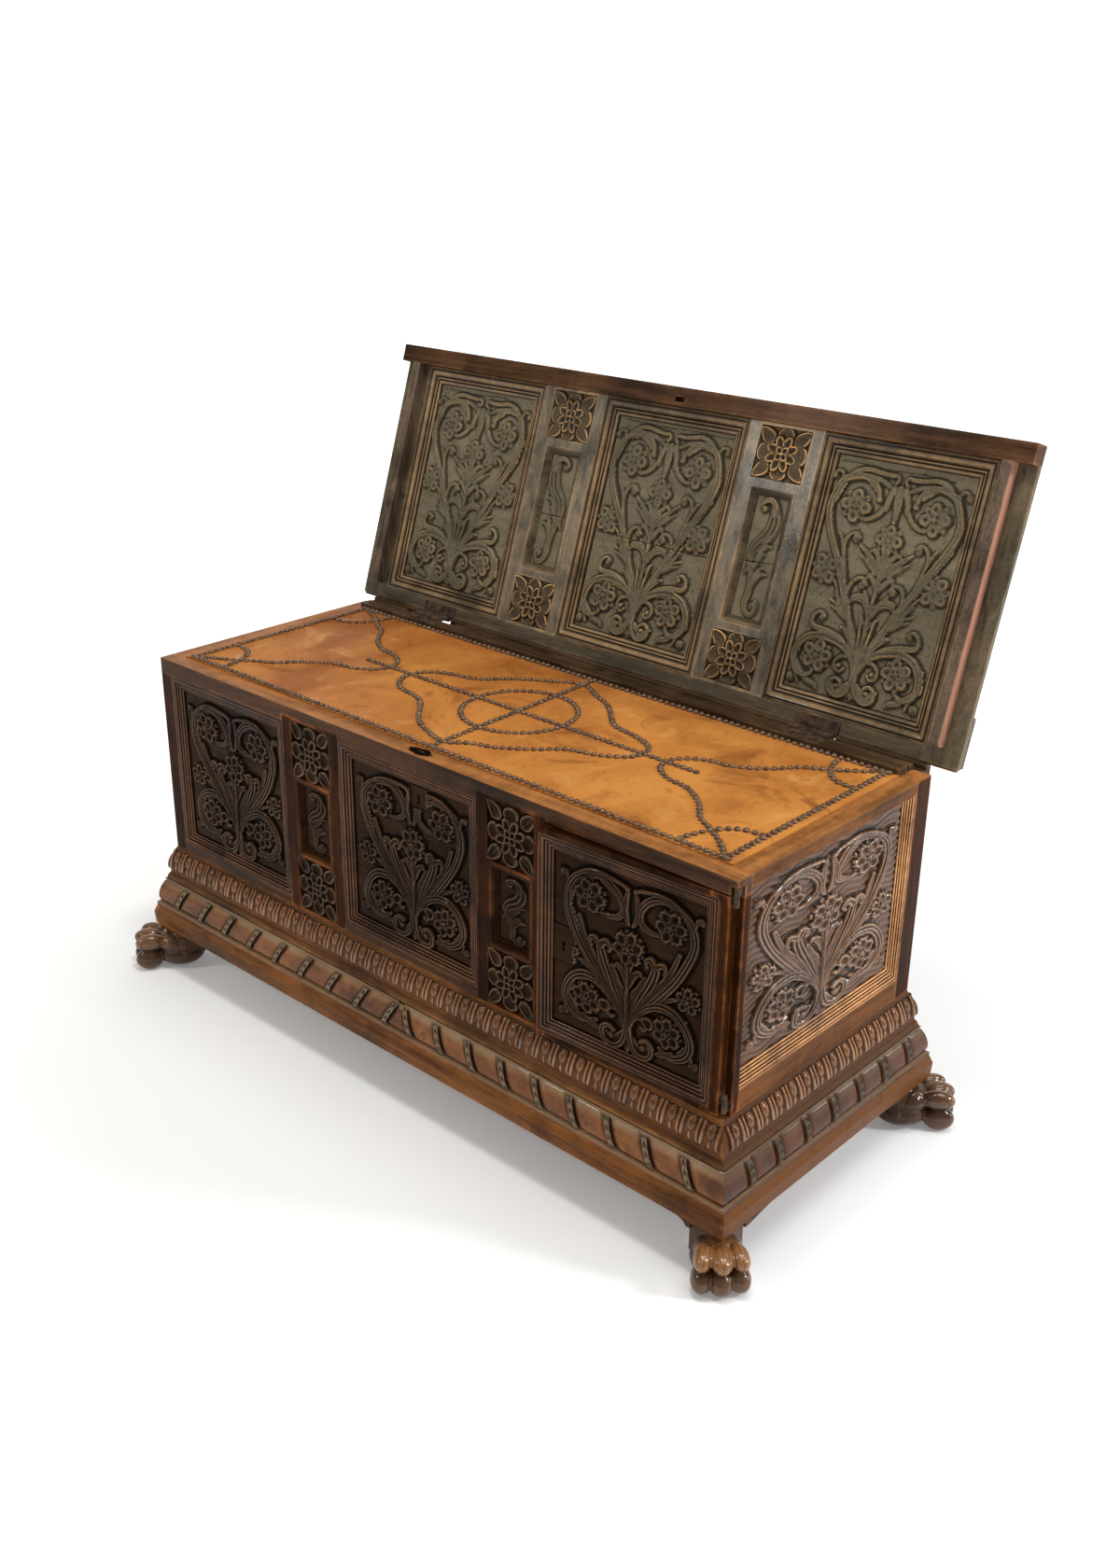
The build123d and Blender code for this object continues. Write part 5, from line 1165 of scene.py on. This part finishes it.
# Painted shade: faces that look along X, at the two ends, are darkened.
sideways = belt.facing("X")
colour = belt.blend(belt.between(sideways * sideways, 0.25, 0.6) * 0.8, colour,
                    belt.blend(1.0, colour, (0.20, 0.13, 0.08), "MULTIPLY"))
belt_finish = belt.done(
    Base_Color=colour, Roughness=belt.between(patch * 0.5 + nick * 0.5, 0.35, 0.65, 0.16, 0.34),
    Normal=belt.bump(figure * 0.5 + nick * 0.5, 0.35, 0.0012), Coat_Weight=0.2, Coat_Roughness=0.12,
    Specular_IOR_Level=0.12)
build("strapped_moulding", values[:, :3], skin(len(columns), len(columns[0]), True), belt_finish, "case",
      "plinth_torus", sharp=55, marks={"worn": values[:, 3], "hollow": values[:, 4]})

# Three thin walnut strips are nailed behind the rear rail, beside and between the hinges. They keep dust
# out of the gap under the lid.
dusty = walnut("dust_strip_walnut", (0.020, 0.010, 0.005), (0.090, 0.052, 0.026), (0.22, 0.13, 0.06))
dress(dusty, "deck_hinge_rail", "back_top_rail")
rim_z = 650
for number, (x0, x1) in enumerate(((-655, -518), (-428, 393), (483, 655))):
    rng = np.random.default_rng(200 + number)
    count = max(4, round((x1 - x0) / 18))
    points = []
    for x in np.linspace(x0, x1, count + 1):
        high, deep = 658.0 + rng.normal(0, 0.15), 276.6 + rng.normal(0, 0.08)
        points += [(x, middle + y, z) for y, z in (
            (254.8, 634), (254.8, rim_z), (265.4, rim_z), (265.4, high - 0.6), (267, high + 0.4),
            (deep - 1, high + 0.3), (deep, high - 1), (deep, 636))]
    build(f"dust_strip_{number + 1}", points, skin(count + 1, 8), dusty, "case")

# A narrow lip of the same walnut is glued along the foot of the lid, below its rails. It closes the
# joint to the dust strips, and turns with the lid.
points = [on_lid(x, s, depth) for x in np.linspace(-697, 697, 40)
          for s, depth in ((1.2, 14.3), (5.2, 14.1), (5.2, 24), (1.2, 24))]
build("lid_lip", points, skin(40, 4), dusty, "lid")

# The leather of the deck: one hide, glued down and nailed along its edges, with a pattern of domed
# iron nails over the middle. The nails stand close together, so that they read as a cord.
nail_paint = Finish("nail_iron")
tarnish = nail_paint.noise(nail_paint.place(), 160.0, 3.0)
nail_metal = nail_paint.done(
    Base_Color=nail_paint.blend(nail_paint.between(tarnish, 0.35, 0.65),
                                (0.070, 0.038, 0.022), (0.260, 0.155, 0.090)),
    Metallic=nail_paint.between(tarnish, 0.3, 0.6, 0.15, 0.5),
    Roughness=nail_paint.between(tarnish, 0.3, 0.7, 0.32, 0.5))
nail_plan = Plan("nails_along_lines", {"Spacing": "Float", "Radius": "Float", "Rise": "Float"})
given = nail_plan.given
line = nail_plan.node("GeometryNodeMeshToCurve", {}, {"Mesh": given["Geometry"]})
dots = nail_plan.node("GeometryNodeResampleCurve", {"mode": "LENGTH"}, {
    "Curve": line, "Length": given["Spacing"]})
head = nail_plan.node("GeometryNodeMeshUVSphere", {}, {"Segments": 12, "Rings": 7, "Radius": 1.0})
dome = nail_plan.node("ShaderNodeCombineXYZ", {}, {
    "X": given["Radius"], "Y": given["Radius"], "Z": given["Rise"]})
head = nail_plan.node("GeometryNodeTransform", {}, {"Geometry": head, "Scale": dome})
head = nail_plan.node("GeometryNodeSetShadeSmooth", {}, {"Geometry": head})
askew = nail_plan.node("FunctionNodeRandomValue", {"data_type": "FLOAT_VECTOR"}, {
    "Min": (-0.16, -0.16, 0.0), "Max": (0.16, 0.16, 6.28), "Seed": 5})
bigger = nail_plan.node("FunctionNodeRandomValue", {"data_type": "FLOAT"}, {2: 0.9, 3: 1.06, "Seed": 8}, 1)
nail_plan.finish(nail_plan.node("GeometryNodeInstanceOnPoints", {}, {
    "Points": dots, "Instance": head, "Rotation": askew, "Scale": bigger}), nail_metal)

front_row, rear_row, leather_top = -214.4, 208, 652.9
rows = [([(-622, front_row), (622, front_row)], False), ([(-622, rear_row), (622, rear_row)], False),
        ([(-618, front_row), (-618, rear_row)], False), ([(618, front_row), (618, rear_row)], False),
        ([(22, -212), (14, 0), (5, 200)], False), ([(-372, 0), (400, 0)], False)]
turns = np.linspace(0, 2 * math.pi, 17)[:-1]
rows.append(([(16 + 101 * math.cos(a), 101 * math.sin(a)) for a in turns], True))
rows.append(([(-256, 0), (-240, 32), (-200, 52), (-150, 66), (-110, 108), (-60, 142), (6, 176), (60, 150),
              (105, 128), (145, 92), (180, 62), (240, 48), (280, 28), (292, 0), (280, -30), (240, -56),
              (190, -72), (150, -110), (100, -146), (60, -160), (22, -186), (-30, -172), (-80, -146),
              (-125, -100), (-160, -74), (-215, -62), (-248, -34)], True))
for side, start in ((-1, -322), (1, 348)):
    for end in (-1, 1):
        wave = [(-10, 0), (0, 26), (34, 50), (82, 60), (128, 92), (160, 130), (196, 152), (232, 178)]
        rows.append(([(start + side * x, end * y) for x, y in wave] + [(side * 608, end * 204)], False))
        bow = [(612, 118), (580, 122), (556, 142), (540, 172), (532, 208)]
        rows.append(([(side * x, end * y) for x, y in bow], False))
verts, edges = [], []
for points, loop in rows:
    line = smooth_line(points, 8, loop)
    base = len(verts)
    verts += [(x / 1000, (middle + y) / 1000, leather_top / 1000) for x, y in line]
    edges += [(base + i, base + i + 1) for i in range(len(line) - 1)]
    if loop:
        edges.append((base + len(line) - 1, base))
mesh = bpy.data.meshes.new("leather_nails")
mesh.from_pydata(verts, edges, [])
nail_plan.grow(link("leather_nails", mesh), "case", spacing=0.0127, radius=0.0059, rise=0.0050)

hide = Finish("tan_leather")
place = hide.place()
cloud = hide.noise(place, 3.2, 5.0, 0.6, 0.6)
blot = hide.noise(place, 9.0, 6.0, 0.65, 1.0)
grit = hide.noise(place, 240.0, 3.0, 0.7)
cells = hide.node("ShaderNodeTexVoronoi", {"feature": "DISTANCE_TO_EDGE"}, {
    "Vector": place, "Scale": 330.0})
# Painted light: the hide is made lighter towards +X, the end nearer the window, over its random mottle.
mottle_and_painted_light = cloud + hide.part(place, "X") * 0.15
colour = hide.blend(hide.between(mottle_and_painted_light, 0.36, 0.64), (0.310, 0.095, 0.017), (0.570, 0.230, 0.048))
colour = hide.blend(hide.between(blot, 0.54, 0.70, 0.0, 0.8), colour, (0.210, 0.062, 0.014))
colour = hide.blend(hide.between(blot, 0.43, 0.30, 0.0, 0.6), colour, (0.660, 0.330, 0.100))
scuff = hide.noise(hide.node("ShaderNodeMapping", {}, {
    "Vector": place, "Scale": (5.0, 40.0, 1.0), "Rotation": (0, 0, 0.6)}), 3.0, 5.0, 0.7, 1.2)
colour = hide.blend(hide.between(scuff, 0.64, 0.82, 0.0, 0.3), colour, (0.640, 0.380, 0.170))
spots = hide.noise(place, 55.0, 4.0, 0.7, 0.8)
colour = hide.blend(hide.between(spots, 0.58, 0.7, 0.0, 0.5), colour, (0.260, 0.080, 0.020))
leather = hide.done(
    Base_Color=colour, Roughness=hide.between(blot * 0.6 + scuff * 0.4, 0.3, 0.7, 0.4, 0.62),
    Normal=hide.bump(cells * 0.5 + grit * 0.3 + blot * 0.5, 0.35, 0.0012), Specular_IOR_Level=0.1)
nodes["leather_cover"].data.materials[0] = leather

# The feet: four lion's paws set on the diagonals, each cut from one block of walnut, with three
# toes, grooved knuckles above and blunt claws below.
paw_finish = waxed_walnut("paw_walnut", (0.040, 0.018, 0.008), (0.130, 0.062, 0.028),
                          (0.300, 0.132, 0.042), (0.012, 0.006, 0.002), 0.2, 0.3, 0.7)


def lump(shape, place, size, swing=0.0):
    """One rounded mass of the paw, merged with the rest later."""
    turned = Matrix.Translation(place) @ Matrix.Rotation(swing, 4, "Z") @ Matrix.Diagonal((*size, 1))
    bmesh.ops.create_icosphere(shape, subdivisions=4, radius=1.0, matrix=turned)


def paw(name, node, corner, bearing, reach):
    """One paw, modelled along X with its ankle behind the origin, then turned about its corner."""
    shape = bmesh.new()
    block = Matrix.Rotation(math.pi / 4, 4, "Z") @ Matrix.Diagonal((58, 58, 48, 1))
    bmesh.ops.create_cube(shape, size=1.0, matrix=Matrix.Translation((-60, 0, 51)) @ block)
    lump(shape, (-34, 0, 46), (36, 38, 28))
    lump(shape, (-44, 0, 26), (48, 41, 27))
    for side in (-1, 0, 1):
        swing, back = side * 0.24, 7 * abs(side)
        lump(shape, (reach - 32 - back, side * 26, 56), (29, 17.5 - 2 * abs(side), 17), swing)
        lump(shape, (reach - 29 - back, side * 27, 21), (27, 20 - 2 * abs(side), 22), swing)
    mesh = bpy.data.meshes.new(name)
    shape.to_mesh(mesh)
    shape.free()
    made = link(name, mesh)
    merge = made.modifiers.new("merge", "REMESH")
    merge.mode, merge.voxel_size = "VOXEL", 1.5
    ease = made.modifiers.new("ease", "SMOOTH")
    ease.factor, ease.iterations = 0.5, 3
    bpy.context.view_layer.update()
    mesh = bpy.data.meshes.new_from_object(made.evaluated_get(bpy.context.evaluated_depsgraph_get()))
    made.modifiers.clear()
    made.data = mesh
    co, normal = np.empty(len(mesh.vertices) * 3), np.empty(len(mesh.vertices) * 3)
    mesh.vertices.foreach_get("co", co)
    mesh.vertices.foreach_get("normal", normal)
    co, normal = co.reshape(-1, 3), normal.reshape(-1, 3)
    co[:, 2] = np.clip(co[:, 2], 0, 75.5)
    upper = np.clip((co[:, 2] - 46) / 6, 0, 1) * np.clip((co[:, 0] + 34) / 16, 0, 1)
    fan = np.arctan2(co[:, 1], co[:, 0] + 130)
    hair = np.clip(np.cos(fan * 96) * 2.6 - 1.6, 0, 1) * upper
    co -= normal * (hair * 0.6)[:, None]
    turned = np.array([[math.cos(bearing), -math.sin(bearing)], [math.sin(bearing), math.cos(bearing)]])
    place = co.copy()
    place[:, :2] = co[:, :2] @ turned.T + (corner[0], corner[1] + middle)
    mesh.vertices.foreach_set("co", (place / 1000).reshape(-1))
    # Painted light and shade: the upper lobes and toes get the worn mark, lighter as light from above would
    # show them, and the creases between toes and tiers and the hair grooves get the hollow mark, painted
    # shade.
    between_toes = np.clip(1 - np.abs(np.abs(co[:, 1]) - 13.5) / 2.5, 0, 1) * (co[:, 0] > -16)
    between_tiers = np.clip(1 - np.abs(co[:, 2] - 41.5) / 3.5, 0, 1) * (co[:, 0] > -18)
    lit = np.clip((co[:, 2] - 40) / 14, 0.38, 1) * np.clip((co[:, 0] + 46) / 30, 0, 1)
    set_marks(mesh, {"worn": lit * (1 - 0.45 * hair),
                     "hollow": np.clip((between_toes + between_tiers) * 0.8 + hair * 0.22, 0, 1)})
    mesh.materials.clear()
    mesh.materials.append(paw_finish)
    mesh.polygons.foreach_set("use_smooth", [True] * len(mesh.polygons))
    mesh.update()
    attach(made, "case")
    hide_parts(node)


corners = (("front_right", 1, -1), ("front_left", -1, -1), ("rear_right", 1, 1), ("rear_left", -1, 1))
for (tag, x, y), reach in zip(corners, (34, 50, 50, 42)):
    paw(f"lion_paw_{tag}", f"paw_{tag}", (x * (half_w + 40), y * (half_d + 40)), math.atan2(y, x), reach)

# The base board sweeps down to each foot: an apron on either side of a block with three small steps,
# sawn from the same walnut and glued under the board.
# A darker copy of the walnut for the caps, brackets and aprons of the feet: painted shade, as they sit under
# the base board.
foot_dark = walnut("walnut_foot_caps", (0.020, 0.008, 0.003), (0.120, 0.048, 0.014), (0.30, 0.140, 0.050),
                   shine=0.12)
dress(foot_dark, "foot_caps", "plinth_brackets")
corner_x, corner_y, block_wide = 706.4, 291.0, 72
board_low, apron_high, foot_low = 90.2, 90.8, 74.2


def apron(long, round_off):
    """An apron's outline, from the foot block outwards: how far from the corner, and how high."""
    line = []
    for t in np.linspace(0, 1, 13):
        sweep = 16 * (1 - math.sqrt(1 - (1 - t) ** 2)) if round_off else 16 * (1 - t) ** 2
        line.append((68 + (long - 68) * t, board_low - sweep))
    return [(60, foot_low), *line, (long, apron_high), (60, apron_high)]


# Each part of a foot's timber is two rings of points, inwards from the corner and up.
parts = [[(a, b, z) for z in (z0, z1)
          for a, b in ((inset, inset), (block_wide, inset), (block_wide, block_wide), (inset, block_wide))]
         for inset, z0, z1 in ((0, 84, 90.4), (3.6, 78.5, 84), (7.2, 73.5, 78.5))]
parts.append([(a, depth, z) for depth in (0.6, 18) for a, z in apron(128, True)])
parts.append([(depth, b, z) for depth in (0.6, 18) for b, z in apron(216, False)])
for tag, x, y in corners:
    points, faces = [], []
    for part in parts:
        faces += [tuple(len(points) + k for k in face) for face in skin(2, len(part) // 2)]
        points += [(x * (corner_x - a), middle + y * (corner_y - b), z) for a, b, z in part]
    build(f"foot_apron_{tag}", points, faces, foot_dark, "case", "foot_caps", "plinth_brackets")

# The rim has been torn where the lid's bolt rises through it, and splinters have broken away round the
# bolt's hole. The torn patch is a thin ragged near-black sheet on the rim, in the keyholes' painted shade.
rng = np.random.default_rng(5)
turns = np.linspace(0, 2 * math.pi, 33)[:-1]
ragged = [(20 + (25 + rng.uniform(-6, 7)) * math.cos(a), -235.5 + (12.5 + rng.uniform(-3, 1)) * math.sin(a))
          for a in turns]
square = [max(abs(math.cos(a)), abs(math.sin(a))) for a in turns]
hole = [(18 + 10.6 * math.cos(a) / side, -232.1 + 3.4 * math.sin(a) / side) for a, side in zip(turns, square)]
scar_low, scar_high = rim_z - 0.6, rim_z + 0.2
rings = ((ragged, scar_low), (ragged, scar_high), (hole, scar_high), (hole, scar_low))
points = [(a, middle + b, z) for ring, z in rings for a, b in ring]
build("torn_rim", points, skin(4, len(turns), True), painted_hole_shade, "case")
